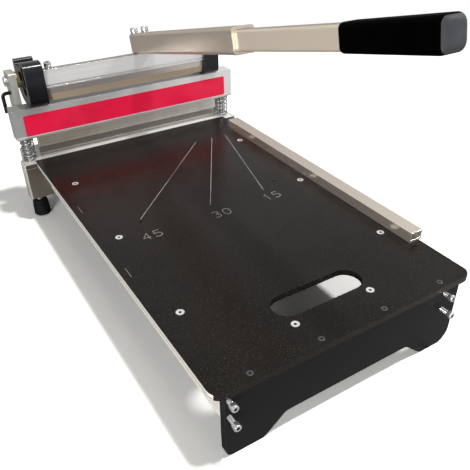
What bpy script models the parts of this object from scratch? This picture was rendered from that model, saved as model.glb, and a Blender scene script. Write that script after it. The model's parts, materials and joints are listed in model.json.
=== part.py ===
"""Laminate cutter: a guillotine for floor boards, built as separate named pieces.

Metres, +Z up. The origin is the middle of the work table's top face, +X runs to the
fence side and +Y runs from the front leg to the blade.
"""
import math

import bmesh
import bpy
from mathutils import Vector

# Clearances
GAP = 0.0003
CAM_GAP = 0.0006
OVERRUN = 0.002

# Work table
TABLE_WIDTH = 0.360
TABLE_LENGTH = 0.600
TABLE_THICK = 0.008
TABLE_CORNER = 0.014
SLOT_LENGTH = 0.125
SLOT_WIDTH = 0.038
SLOT_FROM_FRONT = 0.0735
MARK_WIDTH = 0.0012
MARK_DEPTH = 0.0008
MITRE_ANGLES = (45, 30, 15)
MITRE_START_SHARES = (0.724, 0.814, 0.889)
MITRE_LENGTH_SHARES = (0.445, 0.398, 0.363)
MITRE_REAR_SHARE = 0.87
EDGE_MARK_INSET = 0.010
EDGE_MARK_LENGTH = 0.022
EDGE_MARK_SHARES = (0.693, 0.398)
PIN_HOLE_RADIUS = 0.0018
PIN_HOLE_DEPTH = 0.004
PIN_HOLE_SHARES = ((0.428, 0.782), (0.582, 0.781), (0.193, 0.545), (0.814, 0.545), (0.032, 0.95),
                   (0.968, 0.95))

# Countersunk screws of the table
TABLE_SCREW_INSET = 0.030
TABLE_SCREW_FIRST = 0.128
TABLE_SCREW_LAST = 0.114
TABLE_SCREW_ROWS = 3
SCREW_HEAD_RADIUS = 0.0050
SCREW_HEAD_DEPTH = 0.0030
SCREW_RADIUS = 0.0020
SCREW_HEX_RADIUS = 0.0016
SCREW_HEX_DEPTH = 0.0018
SCREW_LENGTH = 0.0135

# Front leg
FLOOR_DROP = 0.1035
LEG_THICK = 0.010
LEG_SETBACK = 0.005
LEG_SIDE_INSET = 0.014
LEG_LEFT_CORNER = 0.009
LEG_RIGHT_CORNER = 0.020
LEG_PAD_END = 0.048
LEG_ARCH_END = 0.076
LEG_ARCH_RISE = 0.0245
LEG_ARCH_ROUND = 0.011
LEG_SCREW_INSET = 0.0465
LEG_SCREW_COUNT = 4
LEG_SCREW_RADIUS = 0.0018
LEG_SCREW_HEAD = 0.0038
LEG_SCREW_HEX_RADIUS = 0.0014

# Angle brace behind the front leg
BRACE_LENGTH = 0.140
BRACE_ARM = 0.036
BRACE_THICK = 0.003
BRACE_SCREW_SPACING = 0.108
BRACE_SCREW_SETBACK = 0.008
BRACE_PEG_RADIUS = 0.0022
BRACE_PEG = 0.005

# Rails under the table
RAIL_LEFT_INSET = 0.014
RAIL_RIGHT_INSET = 0.043
RAIL_WEB = 0.010
RAIL_DROP = 0.050
RAIL_FLANGE_WIDTH = 0.028
RAIL_FLANGE = 0.003
RAIL_GROOVE_RISE = 0.0045
RAIL_GROOVE = 0.001
RAIL_CORE_WIDTH = 0.005
RAIL_CORE_HEIGHT = 0.012
RAIL_BOLT_DROPS = (0.018, 0.042)
RAIL_BOLT_STICKOUTS = (0.0065, 0.0105)
RAIL_BOLT_RADIUS = 0.0030
RAIL_BOLT_HEAD_RADIUS = 0.0052
RAIL_BOLT_HEAD = 0.0065
RAIL_BOLT_HEX_RADIUS = 0.0027
RAIL_BOLT_HEX_DEPTH = 0.0035
RAIL_BOLT_GRIP = 0.016

# Base beam
BEAM_OVERHANG = 0.022
BEAM_SEAT_DEPTH = 0.012
BEAM_DEPTH = 0.076
BEAM_DROP = 0.062
BEAM_STEP = 0.0005
BEAM_WALL = 0.004
BEAM_ROOF = 0.006
END_PLATE = 0.003
END_PEG_RADIUS = 0.0018
END_PEG = 0.010
END_PORT = 0.0045
END_PORT_INSET = 0.013
END_HORN = 0.022
END_SLANT = 0.010
END_NECK = 0.012
END_GROOVE = 0.0005
END_GROOVE_RISE = 0.0010
END_GROOVE_WIDTH = 0.0010

# Rear feet
FOOT_RADIUS = 0.0142
FOOT_WAIST = 0.0127
FOOT_HEIGHT = 0.0285
FOOT_ROUND = 0.003
FOOT_SETBACK = 0.023
STUD_RADIUS = 0.0040
STUD_NUT = 0.0080
STUD_NUT_HEIGHT = 0.0065
STUD_BURY = 0.008

# Fence
FENCE_WIDTH = 0.020
FENCE_HEIGHT = 0.015
FENCE_WALL = 0.0018
FENCE_OVERHANG = 0.003
FENCE_FRONT = 0.087
FENCE_SHORTFALL = 0.053
FENCE_SCREW_COUNT = 3

# Blade carrier and its guides
CARRIER_OVERHANG = 0.020
CARRIER_FRONT = 0.003
CARRIER_DEPTH = 0.027
CARRIER_BOTTOM = 0.039
CARRIER_HEIGHT = 0.050
CARRIER_LIP = 0.0022
CARRIER_LIP_HEIGHT = 0.0035
CARRIER_CORE_WALL = 0.004
LABEL_OVERHANG = 0.004
LABEL_HEIGHT = 0.0345
LABEL_THICK = 0.0005
LABEL_DROP = 0.010
LABEL_CORNER = 0.003
GUIDE_OVERHANG = 0.005
GUIDE_FROM_SEAT = 0.009
ROD_RADIUS = 0.006
ROD_HEIGHT = 0.068
ROD_BURY = 0.014
ROD_TIP = 0.001
BUSH_WALL = 0.0028
BUSH_LENGTH = 0.018
SPRING_RADIUS = 0.0098
SPRING_WIRE = 0.0012
SPRING_TURNS = 6
SPRING_POINTS = 10
SPRING_END_PITCH = 0.0030

# Blade and its clamp bar
BLADE_INSET = 0.013
BLADE_THICK = 0.004
BLADE_BURY = 0.024
BLADE_BEVEL = 0.006
BLADE_EDGE = 0.0006
BLADE_CLEAR = 0.0004
CLAMP_FROM_SEAT = 0.0027
CLAMP_THICK = 0.0067
CLAMP_BOTTOM = 0.020
CLAMP_CHAMFER = 0.0015
BLADE_SCREW_COUNT = 3
BLADE_SCREW_SPAN_SHARE = 0.72
BLADE_SCREW_RADIUS = 0.0025
BLADE_SCREW_HEAD = 0.0045
BLADE_SCREW_CAP = 0.0035
BLADE_SCREW_BITE = 0.005

# Posts and pivot
POST_INSET = 0.005
POST_THICK = 0.011
POST_FROM_SEAT = 0.025
POST_DEPTH = 0.035
POST_OVER_PIVOT = 0.014
POST_CORNER = 0.003
POST_BOLT_RADIUS = 0.0030
POST_BOLT_HEAD = 0.0050
POST_BOLT_CAP = 0.005
POST_BOLT_BITE = 0.018
PIVOT_FROM_SEAT = 0.040
PIVOT_HEIGHT = 0.124
PIVOT_RADIUS = 0.005
PIVOT_HEAD_RADIUS = 0.0085
PIVOT_HEAD = 0.006
COLLAR_RADIUS = 0.013
PIVOT_COLLAR = 0.006
CHEEK_BUSH_WALL = 0.003

# Cam cheeks and cam tube, seen from the side
CAM_LEAD = 0.018
CHEEK_WIDTH = 0.029
CHEEK_TOP_RISE = 0.034
CHEEK_NOSE_ROUND = 0.012
CHEEK_NOSE_DEPTH = 0.024
CHEEK_SADDLE_RISE = 0.0235
CHEEK_LOBE_RISE = 0.030
CHEEK_LOBE_DEPTH = 0.014
CHEEK_ROUND = 0.003
CHEEK_TOE_SHARE = 0.38
CHEEK_RIM = 0.0055
CHEEK_POCKET = 0.012
CHEEK_HUB = 0.012
TUBE_LOWER_FRONT = 0.028
TUBE_LOWER_BOTTOM = 0.0295
TUBE_RIDGE_DROP = 0.007
TUBE_RIDGE = 0.0025
TUBE_TOP_RISE = 0.020
TUBE_TOP_SETBACK = 0.004
TUBE_BACK = 0.008
TUBE_BACK_DROP = 0.012
TUBE_CORE_RADIUS = 0.012
TUBE_CORE_LEAD = 0.024
TUBE_CORE_DROP = 0.004
CHEEK_BOSS = 0.026
SET_SCREW_INSET = 0.014
SET_SCREW_SETBACK = 0.018
SET_SCREW_RADIUS = 0.0055
SET_SCREW_HEAD = 0.009
SET_SCREW_SHANK = 0.0025

# Lever, in its own line: forward along the lever and up across it
LEVER_ELEVATION = 13
LEVER_OFFSET = 0.035
LEVER_ROOT_SETBACK = 0.020
LEVER_SIZE = 0.032
LEVER_WALL = 0.003
LEVER_ROUND = 0.0045
LEVER_LENGTH = 0.340
COLLAR_LENGTH = 0.005
COLLAR_PROUD = 0.0005
LEVER_BOLT_FORWARD = 0.010
LEVER_BOLT_SPACING = 0.019
LEVER_BOLT_RADIUS = 0.003
LEVER_BOLT_HEAD_RADIUS = 0.006
LEVER_BOLT_HEAD = 0.009
LEVER_BOLT_BITE = 0.007
EXTENSION_SIZE = 0.025
EXTENSION_WALL = 0.002
EXTENSION_ROUND = 0.0035
EXTENSION_HIDDEN = 0.150
EXTENSION_SHOWN = 0.191
EXTENSION_IN_GRIP = 0.080
GRIP_LENGTH = 0.126
GRIP_HEIGHT = 0.0285
GRIP_WIDTH = 0.0285
GRIP_END_GROWTH = 0.0015
GRIP_ROUND = 0.006
GRIP_END_ROUND = 0.009

# Hex key, parked in the left post
KEY_DROP = 0.019
KEY_RADIUS = 0.0033
KEY_STICKOUT = 0.0125
KEY_ARM = 0.031
KEY_BEND = 0.006

# Facets
ROUND_SIDES = 20
SMALL_SIDES = 12
HEX_SIDES = 6
ARC_STEPS = 5

# Sides, and places worked out from the sizes
SIDES = (("left", -1), ("right", 1))
HALF_WIDTH = TABLE_WIDTH / 2
FRONT_Y = -TABLE_LENGTH / 2
REAR_Y = TABLE_LENGTH / 2
SEAT_Y = REAR_Y + GAP
FLOOR_Z = -FLOOR_DROP
FENCE_LENGTH = TABLE_LENGTH - FENCE_FRONT - FENCE_SHORTFALL
TABLE_UNDER = -TABLE_THICK
LEG_FRONT = FRONT_Y + LEG_SETBACK
LEG_REAR = LEG_FRONT + LEG_THICK
BEAM_HALF = HALF_WIDTH + BEAM_OVERHANG
BEAM_FRONT = SEAT_Y - BEAM_SEAT_DEPTH
BEAM_REAR = BEAM_FRONT + BEAM_DEPTH
BEAM_TOP = BEAM_STEP
BEAM_BOTTOM = -BEAM_DROP
BEAM_LEDGE = TABLE_UNDER - GAP
CARRIER_Y = SEAT_Y - CARRIER_FRONT
CARRIER_REAR = CARRIER_Y + CARRIER_DEPTH
CARRIER_TOP = CARRIER_BOTTOM + CARRIER_HEIGHT
CARRIER_HALF = HALF_WIDTH + CARRIER_OVERHANG
GUIDE_SIDE = HALF_WIDTH + GUIDE_OVERHANG
GUIDE_Y = SEAT_Y + GUIDE_FROM_SEAT
BUSH_RADIUS = ROD_RADIUS + GAP + BUSH_WALL
CLAMP_FRONT = SEAT_Y + CLAMP_FROM_SEAT
BLADE_FRONT = CLAMP_FRONT + CLAMP_THICK + GAP
BLADE_REAR = BLADE_FRONT + BLADE_THICK
BLADE_TOP = CARRIER_BOTTOM + BLADE_BURY
BLADE_WIDTH = TABLE_WIDTH - 2 * BLADE_INSET
BLADE_SCREW_SPAN = BLADE_WIDTH * BLADE_SCREW_SPAN_SHARE
PIVOT_Y = SEAT_Y + PIVOT_FROM_SEAT
POST_FRONT = SEAT_Y + POST_FROM_SEAT
POST_REAR = POST_FRONT + POST_DEPTH
POST_SIDE = HALF_WIDTH - POST_INSET
POST_OUTER = POST_SIDE + POST_THICK
POST_HEIGHT = PIVOT_HEIGHT + POST_OVER_PIVOT
CAM_RADIUS = PIVOT_HEIGHT - CARRIER_TOP - CAM_GAP
CHEEK_TOP = PIVOT_HEIGHT + CHEEK_TOP_RISE
CHEEK_SADDLE = PIVOT_HEIGHT + CHEEK_SADDLE_RISE
CHEEK_LOBE_TOP = PIVOT_HEIGHT + CHEEK_LOBE_RISE
CHEEK_SIDE = POST_SIDE - PIVOT_COLLAR
CHEEK_INNER = CHEEK_SIDE - CHEEK_WIDTH
TUBE_HALF = CHEEK_INNER - GAP
TUBE_CORE = (PIVOT_Y - TUBE_CORE_LEAD, PIVOT_HEIGHT - TUBE_CORE_DROP)
LEVER_SLOPE = math.radians(LEVER_ELEVATION)
TUBE_FRONT_TOP = (PIVOT_Y - CAM_LEAD - TUBE_LOWER_FRONT + TUBE_TOP_SETBACK, PIVOT_HEIGHT + TUBE_TOP_RISE)


def material(name, colour, roughness, metallic=0.0):
    """Make a Principled material."""
    mat = bpy.data.materials.new(name)
    mat.use_nodes = True
    shader = mat.node_tree.nodes["Principled BSDF"]
    shader.inputs["Base Color"].default_value = (*colour, 1.0)
    shader.inputs["Roughness"].default_value = roughness
    shader.inputs["Metallic"].default_value = metallic
    mat.diffuse_color = (*colour, 1.0)
    return mat


def empty(name, place, turn_x=0.0, parent=None):
    """Make an empty that carries a moving group."""
    holder = bpy.data.objects.new(name, None)
    bpy.context.collection.objects.link(holder)
    holder.parent = parent
    holder.location = Vector(place) - (parent.location if parent else Vector())
    holder.rotation_euler.x = turn_x
    return holder


def finish(name, bm, mat, parent=None, local=False, smooth=True):
    """Turn a bmesh into a named object, its faces pointing out."""
    bmesh.ops.recalc_face_normals(bm, faces=bm.faces)
    mesh = bpy.data.meshes.new(name)
    bm.to_mesh(mesh)
    bm.free()
    if smooth:
        mesh.shade_smooth()
        mesh.set_sharp_from_angle(angle=math.radians(35))
    obj = bpy.data.objects.new(name, mesh)
    bpy.context.collection.objects.link(obj)
    if mat is not None:
        mesh.materials.append(mat)
    if parent is not None:
        obj.parent = parent
        if not local:
            obj.location = -parent.location
    return obj


def axis_order(axis):
    """Give the function that turns (u, v) and a level along the axis into a point."""
    if axis == "x":
        return lambda u, v, level: (level, u, v)
    if axis == "y":
        return lambda u, v, level: (u, level, v)
    return lambda u, v, level: (u, v, level)


def prism(bm, outline, low, high, axis):
    """Extrude an outline of (u, v) points between low and high along an axis."""
    order = axis_order(axis)
    rings = [[bm.verts.new(order(u, v, level)) for u, v in outline] for level in (low, high)]
    bm.faces.new(rings[0])
    bm.faces.new(rings[1])
    count = len(outline)
    for i in range(count):
        j = (i + 1) % count
        bm.faces.new((rings[0][i], rings[0][j], rings[1][j], rings[1][i]))


def box(bm, low, high):
    """Add a box between two corners."""
    outline = [(low[0], low[1]), (high[0], low[1]), (high[0], high[1]), (low[0], high[1])]
    prism(bm, outline, low[2], high[2], "z")


def circle(centre, radius, sides=ROUND_SIDES):
    """Give the points of a circle."""
    turn = 2 * math.pi / sides
    return [(centre[0] + radius * math.cos(turn * (i + 0.5)), centre[1] + radius * math.sin(turn * (i + 0.5)))
            for i in range(sides)]


def rod(bm, centre, radius, low, high, axis, sides=ROUND_SIDES):
    """Add a round bar along an axis."""
    prism(bm, circle(centre, radius, sides), low, high, axis)


def turned(bm, centre, profile, axis, sides=ROUND_SIDES):
    """Add a turned solid: profile is (radius, level) pairs from one end to the other."""
    order = axis_order(axis)
    rings = [[bm.verts.new(order(u, v, level)) for u, v in circle(centre, radius, sides)]
             for radius, level in profile]
    bm.faces.new(rings[0])
    bm.faces.new(rings[-1])
    for near, far in zip(rings, rings[1:]):
        for i in range(sides):
            j = (i + 1) % sides
            bm.faces.new((near[i], near[j], far[j], far[i]))


def ring(bm, centre, inner, outer, low, high, axis, sides=ROUND_SIDES):
    """Add a plain ring, such as a bush."""
    order = axis_order(axis)
    loops = [[bm.verts.new(order(u, v, level)) for u, v in circle(centre, radius, sides)]
             for radius, level in ((inner, low), (outer, low), (outer, high), (inner, high))]
    for near, far in zip(loops, loops[1:] + loops[:1]):
        for i in range(sides):
            j = (i + 1) % sides
            bm.faces.new((near[i], near[j], far[j], far[i]))


def rounded(corners, steps=ARC_STEPS):
    """Round an outline: corners are (u, v, radius), and each radius becomes an arc."""
    points = []
    count = len(corners)
    for i, (u, v, radius) in enumerate(corners):
        here = Vector((u, v))
        before = (Vector(corners[i - 1][:2]) - here).normalized()
        after = (Vector(corners[(i + 1) % count][:2]) - here).normalized()
        if radius == 0:
            points.append((u, v))
            continue
        half = before.angle(after) / 2
        start = here + before * (radius / math.tan(half))
        end = here + after * (radius / math.tan(half))
        middle = here + (before + after).normalized() * (radius / math.sin(half))
        first = start - middle
        sweep = math.atan2(first.x * (end - middle).y - first.y * (end - middle).x, first.dot(end - middle))
        for k in range(steps + 1):
            angle = sweep * k / steps
            points.append((middle.x + first.x * math.cos(angle) - first.y * math.sin(angle),
                           middle.y + first.x * math.sin(angle) + first.y * math.cos(angle)))
    return points


def rectangle(u0, v0, u1, v1, radius):
    """Give a rectangle with round corners."""
    return rounded([(u0, v0, radius), (u1, v0, radius), (u1, v1, radius), (u0, v1, radius)])


def cut(obj, bm, name, parent=None, local=False, operation="DIFFERENCE"):
    """Cut a shape out of an object, or join it on, with a hidden helper object."""
    helper = finish(name, bm, None, parent, local, smooth=False)
    helper.hide_render = True
    helper.display_type = "WIRE"
    modifier = obj.modifiers.new(name, "BOOLEAN")
    modifier.object = helper
    modifier.operation = operation
    modifier.solver = "EXACT"


def clear_scene():
    """Remove what the scene holds."""
    for obj in list(bpy.data.objects):
        bpy.data.objects.remove(obj, do_unlink=True)


def table_screw_places():
    """Give the places of the countersunk screws: six over the rails and two over the brace."""
    pitch = (TABLE_LENGTH - TABLE_SCREW_FIRST - TABLE_SCREW_LAST) / (TABLE_SCREW_ROWS - 1)
    rows = [FRONT_Y + TABLE_SCREW_FIRST + pitch * i for i in range(TABLE_SCREW_ROWS)]
    places = [(side * (HALF_WIDTH - TABLE_SCREW_INSET), y) for side in (-1, 1) for y in rows]
    brace_y = LEG_REAR + GAP + BRACE_ARM - BRACE_SCREW_SETBACK
    return places + [(side * BRACE_SCREW_SPACING / 2, brace_y) for side in (-1, 1)]


def leg_screw_places():
    """Give the places of the screws down into the front leg."""
    pitch = (TABLE_WIDTH - 2 * LEG_SCREW_INSET) / (LEG_SCREW_COUNT - 1)
    return [(-HALF_WIDTH + LEG_SCREW_INSET + pitch * i, LEG_FRONT + LEG_THICK / 2)
            for i in range(LEG_SCREW_COUNT)]


def fence_screw_places():
    """Give the places of the screws up into the fence."""
    x = HALF_WIDTH + FENCE_OVERHANG - FENCE_WIDTH / 2
    start = FRONT_Y + FENCE_FRONT
    return [(x, start + FENCE_LENGTH * (i + 0.5) / FENCE_SCREW_COUNT) for i in range(FENCE_SCREW_COUNT)]


def make_worktable(mat):
    """The black panel with its carry slot, screw holes and engraved lines."""
    bm = bmesh.new()
    outline = rounded([(-HALF_WIDTH, FRONT_Y, TABLE_CORNER), (HALF_WIDTH, FRONT_Y, TABLE_CORNER),
                       (HALF_WIDTH, REAR_Y, 0), (-HALF_WIDTH, REAR_Y, 0)])
    prism(bm, outline, TABLE_UNDER, 0, "z")
    table = finish("worktable", bm, mat)

    low, high = TABLE_UNDER - OVERRUN, OVERRUN
    bm = bmesh.new()
    slot_y = FRONT_Y + SLOT_FROM_FRONT
    prism(bm, rectangle(-SLOT_LENGTH / 2, slot_y - SLOT_WIDTH / 2, SLOT_LENGTH / 2, slot_y + SLOT_WIDTH / 2,
                        SLOT_WIDTH / 2 - GAP), low, high, "z")
    for place in table_screw_places():
        add_countersink(bm, place, SCREW_RADIUS + GAP, SCREW_HEAD_RADIUS + GAP, SCREW_HEAD_DEPTH + GAP, low)
    for place in leg_screw_places():
        add_countersink(bm, place, LEG_SCREW_RADIUS + GAP, LEG_SCREW_HEAD + GAP, LEG_SCREW_HEAD + GAP, low)
    for place in fence_screw_places():
        rod(bm, place, SCREW_RADIUS + GAP, low, high, "z", SMALL_SIDES)
    for x_share, y_share in PIN_HOLE_SHARES:
        place = (x_share * TABLE_WIDTH - HALF_WIDTH, y_share * TABLE_LENGTH + FRONT_Y)
        rod(bm, place, PIN_HOLE_RADIUS, -PIN_HOLE_DEPTH, high, "z", SMALL_SIDES)
    cut(table, bm, "worktable_holes")

    bm = bmesh.new()
    for angle, x_share, length_share in zip(MITRE_ANGLES, MITRE_START_SHARES, MITRE_LENGTH_SHARES):
        start = (x_share * TABLE_WIDTH - HALF_WIDTH, MITRE_REAR_SHARE * TABLE_LENGTH + FRONT_Y)
        add_mark(bm, start, math.radians(angle), length_share * TABLE_LENGTH)
    for y_share in EDGE_MARK_SHARES:
        add_mark(bm, (EDGE_MARK_INSET - HALF_WIDTH, y_share * TABLE_LENGTH + FRONT_Y), 0, EDGE_MARK_LENGTH)
    cut(table, bm, "worktable_lines")


def add_countersink(bm, place, hole, head, depth, low):
    """Add the cutter of a countersunk screw hole."""
    profile = [(hole, low), (hole, -depth), (head, 0), (head, OVERRUN)]
    turned(bm, place, profile, "z", SMALL_SIDES)


def add_mark(bm, start, angle, length):
    """Add the cutter of an engraved line that runs forward from its start, turned to the left by angle."""
    along = Vector((-math.sin(angle), -math.cos(angle)))
    across = Vector((along.y, -along.x)) * (MARK_WIDTH / 2)
    first = Vector(start)
    last = first + along * length
    outline = [tuple(first + across), tuple(last + across), tuple(last - across), tuple(first - across)]
    prism(bm, outline, -MARK_DEPTH, MARK_DEPTH, "z")


def make_table_screws(mat):
    """The bright countersunk screws of the table, each with its hex recess."""
    for number, place in enumerate(table_screw_places(), 1):
        name = f"table_screw_{number}"
        bm = bmesh.new()
        profile = [(SCREW_RADIUS, -SCREW_LENGTH), (SCREW_RADIUS, -SCREW_HEAD_DEPTH), (SCREW_HEAD_RADIUS, 0)]
        turned(bm, place, profile, "z", SMALL_SIDES)
        screw = finish(name, bm, mat)
        bm = bmesh.new()
        rod(bm, place, SCREW_HEX_RADIUS, -SCREW_HEX_DEPTH, OVERRUN, "z", HEX_SIDES)
        cut(screw, bm, name + "_hex")


def rail_web_left(side):
    """Give the outer face of a rail's web: both rails are the same profile, facing the same way."""
    return -HALF_WIDTH + RAIL_LEFT_INSET if side < 0 else HALF_WIDTH - RAIL_RIGHT_INSET


def rail_bolt_places(side):
    """Give the two bolt lines of a rail and how far each head stands out."""
    x = rail_web_left(side) + RAIL_WEB / 2
    return [((x, -drop), stickout) for drop, stickout in zip(RAIL_BOLT_DROPS, RAIL_BOLT_STICKOUTS)]


def make_front_leg(mat):
    """The black front plate, with its arch, its bolt holes and its pilot holes."""
    left, right = -HALF_WIDTH + LEG_SIDE_INSET, HALF_WIDTH - LEG_SIDE_INSET
    top, arch = TABLE_UNDER - GAP, FLOOR_Z + LEG_ARCH_RISE
    outline = rounded([(left, top, 0), (left, FLOOR_Z, LEG_LEFT_CORNER),
                       (left + LEG_PAD_END, FLOOR_Z, LEG_ARCH_ROUND),
                       (left + LEG_ARCH_END, arch, LEG_ARCH_ROUND),
                       (right - LEG_ARCH_END, arch, LEG_ARCH_ROUND),
                       (right - LEG_PAD_END, FLOOR_Z, LEG_ARCH_ROUND),
                       (right, FLOOR_Z, LEG_RIGHT_CORNER), (right, top, 0)])
    bm = bmesh.new()
    prism(bm, outline, LEG_FRONT, LEG_REAR, "y")
    leg = finish("front_leg", bm, mat)
    bm = bmesh.new()
    for place in leg_screw_places():
        profile = [(LEG_SCREW_RADIUS, top - LEG_THICK), (LEG_SCREW_RADIUS, -LEG_SCREW_HEAD),
                   (LEG_SCREW_HEAD, 0)]
        turned(bm, place, profile, "z", SMALL_SIDES)
    cut(leg, bm, "front_leg_screws", operation="UNION")
    bm = bmesh.new()
    for place in leg_screw_places():
        rod(bm, place, LEG_SCREW_HEX_RADIUS, -SCREW_HEX_DEPTH, OVERRUN, "z", HEX_SIDES)
    for side in (-1, 1):
        for place, _ in rail_bolt_places(side):
            rod(bm, place, RAIL_BOLT_RADIUS + GAP, LEG_FRONT - OVERRUN, LEG_REAR + OVERRUN, "y", SMALL_SIDES)
        rod(bm, brace_peg_place(side), BRACE_PEG_RADIUS + GAP, LEG_REAR - BRACE_PEG - GAP, LEG_REAR + OVERRUN,
            "y", SMALL_SIDES)
    cut(leg, bm, "front_leg_holes")


def brace_peg_place(side):
    """Give the place of one peg of the brace in the leg's back."""
    return (side * BRACE_SCREW_SPACING / 2, TABLE_UNDER - BRACE_ARM * 2 / 3)


def make_leg_brace(mat):
    """The angle brace in the corner of the table and the front leg."""
    rear, top = LEG_REAR + GAP, TABLE_UNDER - GAP
    outline = [(rear, top), (rear + BRACE_ARM, top), (rear + BRACE_ARM, top - BRACE_THICK),
               (rear + BRACE_THICK, top - BRACE_THICK), (rear + BRACE_THICK, top - BRACE_ARM),
               (rear, top - BRACE_ARM)]
    bm = bmesh.new()
    prism(bm, outline, -BRACE_LENGTH / 2, BRACE_LENGTH / 2, "x")
    brace = finish("leg_brace", bm, mat)
    pegs = bmesh.new()
    holes = bmesh.new()
    for side, place in zip((-1, 1), table_screw_places()[-2:]):
        rod(pegs, brace_peg_place(side), BRACE_PEG_RADIUS, LEG_REAR - BRACE_PEG, rear + BRACE_THICK * 2, "y",
            SMALL_SIDES)
        rod(holes, place, SCREW_RADIUS + GAP, top - BRACE_THICK - OVERRUN, top + OVERRUN, "z", SMALL_SIDES)
    cut(brace, pegs, "leg_brace_pegs", operation="UNION")
    cut(brace, holes, "leg_brace_holes")


def make_rail(name, side, mat):
    """One aluminium rail: a hollow web with a flange under the table and a groove along its foot."""
    x0 = rail_web_left(side)
    x1, x2 = x0 + RAIL_WEB, x0 + RAIL_FLANGE_WIDTH
    top, flange, bottom = TABLE_UNDER - GAP, TABLE_UNDER - GAP - RAIL_FLANGE, -RAIL_DROP
    groove = bottom + RAIL_GROOVE_RISE
    outline = [(x0, bottom), (x1, bottom), (x1, flange), (x2, flange), (x2, top), (x0, top),
               (x0, groove + RAIL_GROOVE), (x0 + RAIL_GROOVE, groove), (x0, groove - RAIL_GROOVE)]
    front, rear = LEG_REAR + GAP, BEAM_FRONT - GAP
    bm = bmesh.new()
    prism(bm, outline, front, rear, "y")
    rail = finish(name, bm, mat)
    bm = bmesh.new()
    middle_x, middle_z = (x0 + x1) / 2, -sum(RAIL_BOLT_DROPS) / 2
    box(bm, (middle_x - RAIL_CORE_WIDTH / 2, front - OVERRUN, middle_z - RAIL_CORE_HEIGHT / 2),
        (middle_x + RAIL_CORE_WIDTH / 2, rear + OVERRUN, middle_z + RAIL_CORE_HEIGHT / 2))
    for place, _ in rail_bolt_places(side):
        rod(bm, place, RAIL_BOLT_RADIUS + GAP, front - OVERRUN, front + RAIL_BOLT_GRIP, "y", SMALL_SIDES)
    for place in table_screw_places()[:-2]:
        if place[0] * side > 0:
            rod(bm, place, SCREW_RADIUS + GAP, flange - OVERRUN, top + OVERRUN, "z", SMALL_SIDES)
    cut(rail, bm, name + "_holes")


def make_rail_bolts(mat):
    """The four socket bolts through the front leg into the rails, standing out as they do in use."""
    end = LEG_REAR + RAIL_BOLT_GRIP
    for side_name, side in SIDES:
        for row, (place, stickout) in zip(("upper", "lower"), rail_bolt_places(side)):
            name = f"rail_bolt_{side_name}_{row}"
            seat = LEG_FRONT - stickout
            face = seat - RAIL_BOLT_HEAD
            profile = [(RAIL_BOLT_HEAD_RADIUS, face), (RAIL_BOLT_HEAD_RADIUS, seat), (RAIL_BOLT_RADIUS, seat),
                       (RAIL_BOLT_RADIUS, end)]
            bm = bmesh.new()
            turned(bm, place, profile, "y", SMALL_SIDES)
            bolt = finish(name, bm, mat)
            bm = bmesh.new()
            rod(bm, place, RAIL_BOLT_HEX_RADIUS, face - OVERRUN, face + RAIL_BOLT_HEX_DEPTH, "y", HEX_SIDES)
            cut(bolt, bm, name + "_hex")


def end_path(side, inset):
    """Give the plan of one end of the beam, set in by a distance: the horn's end, a slant and the rear's end."""
    reach, rear = side * (BEAM_HALF - inset), BEAM_FRONT + END_HORN
    lag = inset * (math.hypot(END_NECK, END_SLANT) - END_SLANT) / END_NECK
    neck = reach - side * END_NECK
    return [(reach, BEAM_FRONT), (reach, rear - lag), (neck, rear + END_SLANT - lag), (neck, BEAM_REAR)]


def end_peg_places():
    """Give the two peg lines of an end plate, in the ports on the beam's floor, and how far each stands back."""
    z = BEAM_BOTTOM + BEAM_WALL + END_PORT / 2
    return [(BEAM_FRONT + END_PORT_INSET, z, 0), (BEAM_REAR - END_PORT_INSET, z, END_NECK)]


def post_bolt_place(side):
    """Give the place of the bolt that holds a post down on the beam."""
    return (side * (POST_SIDE + POST_THICK / 2), (POST_FRONT + POST_REAR) / 2)


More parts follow.
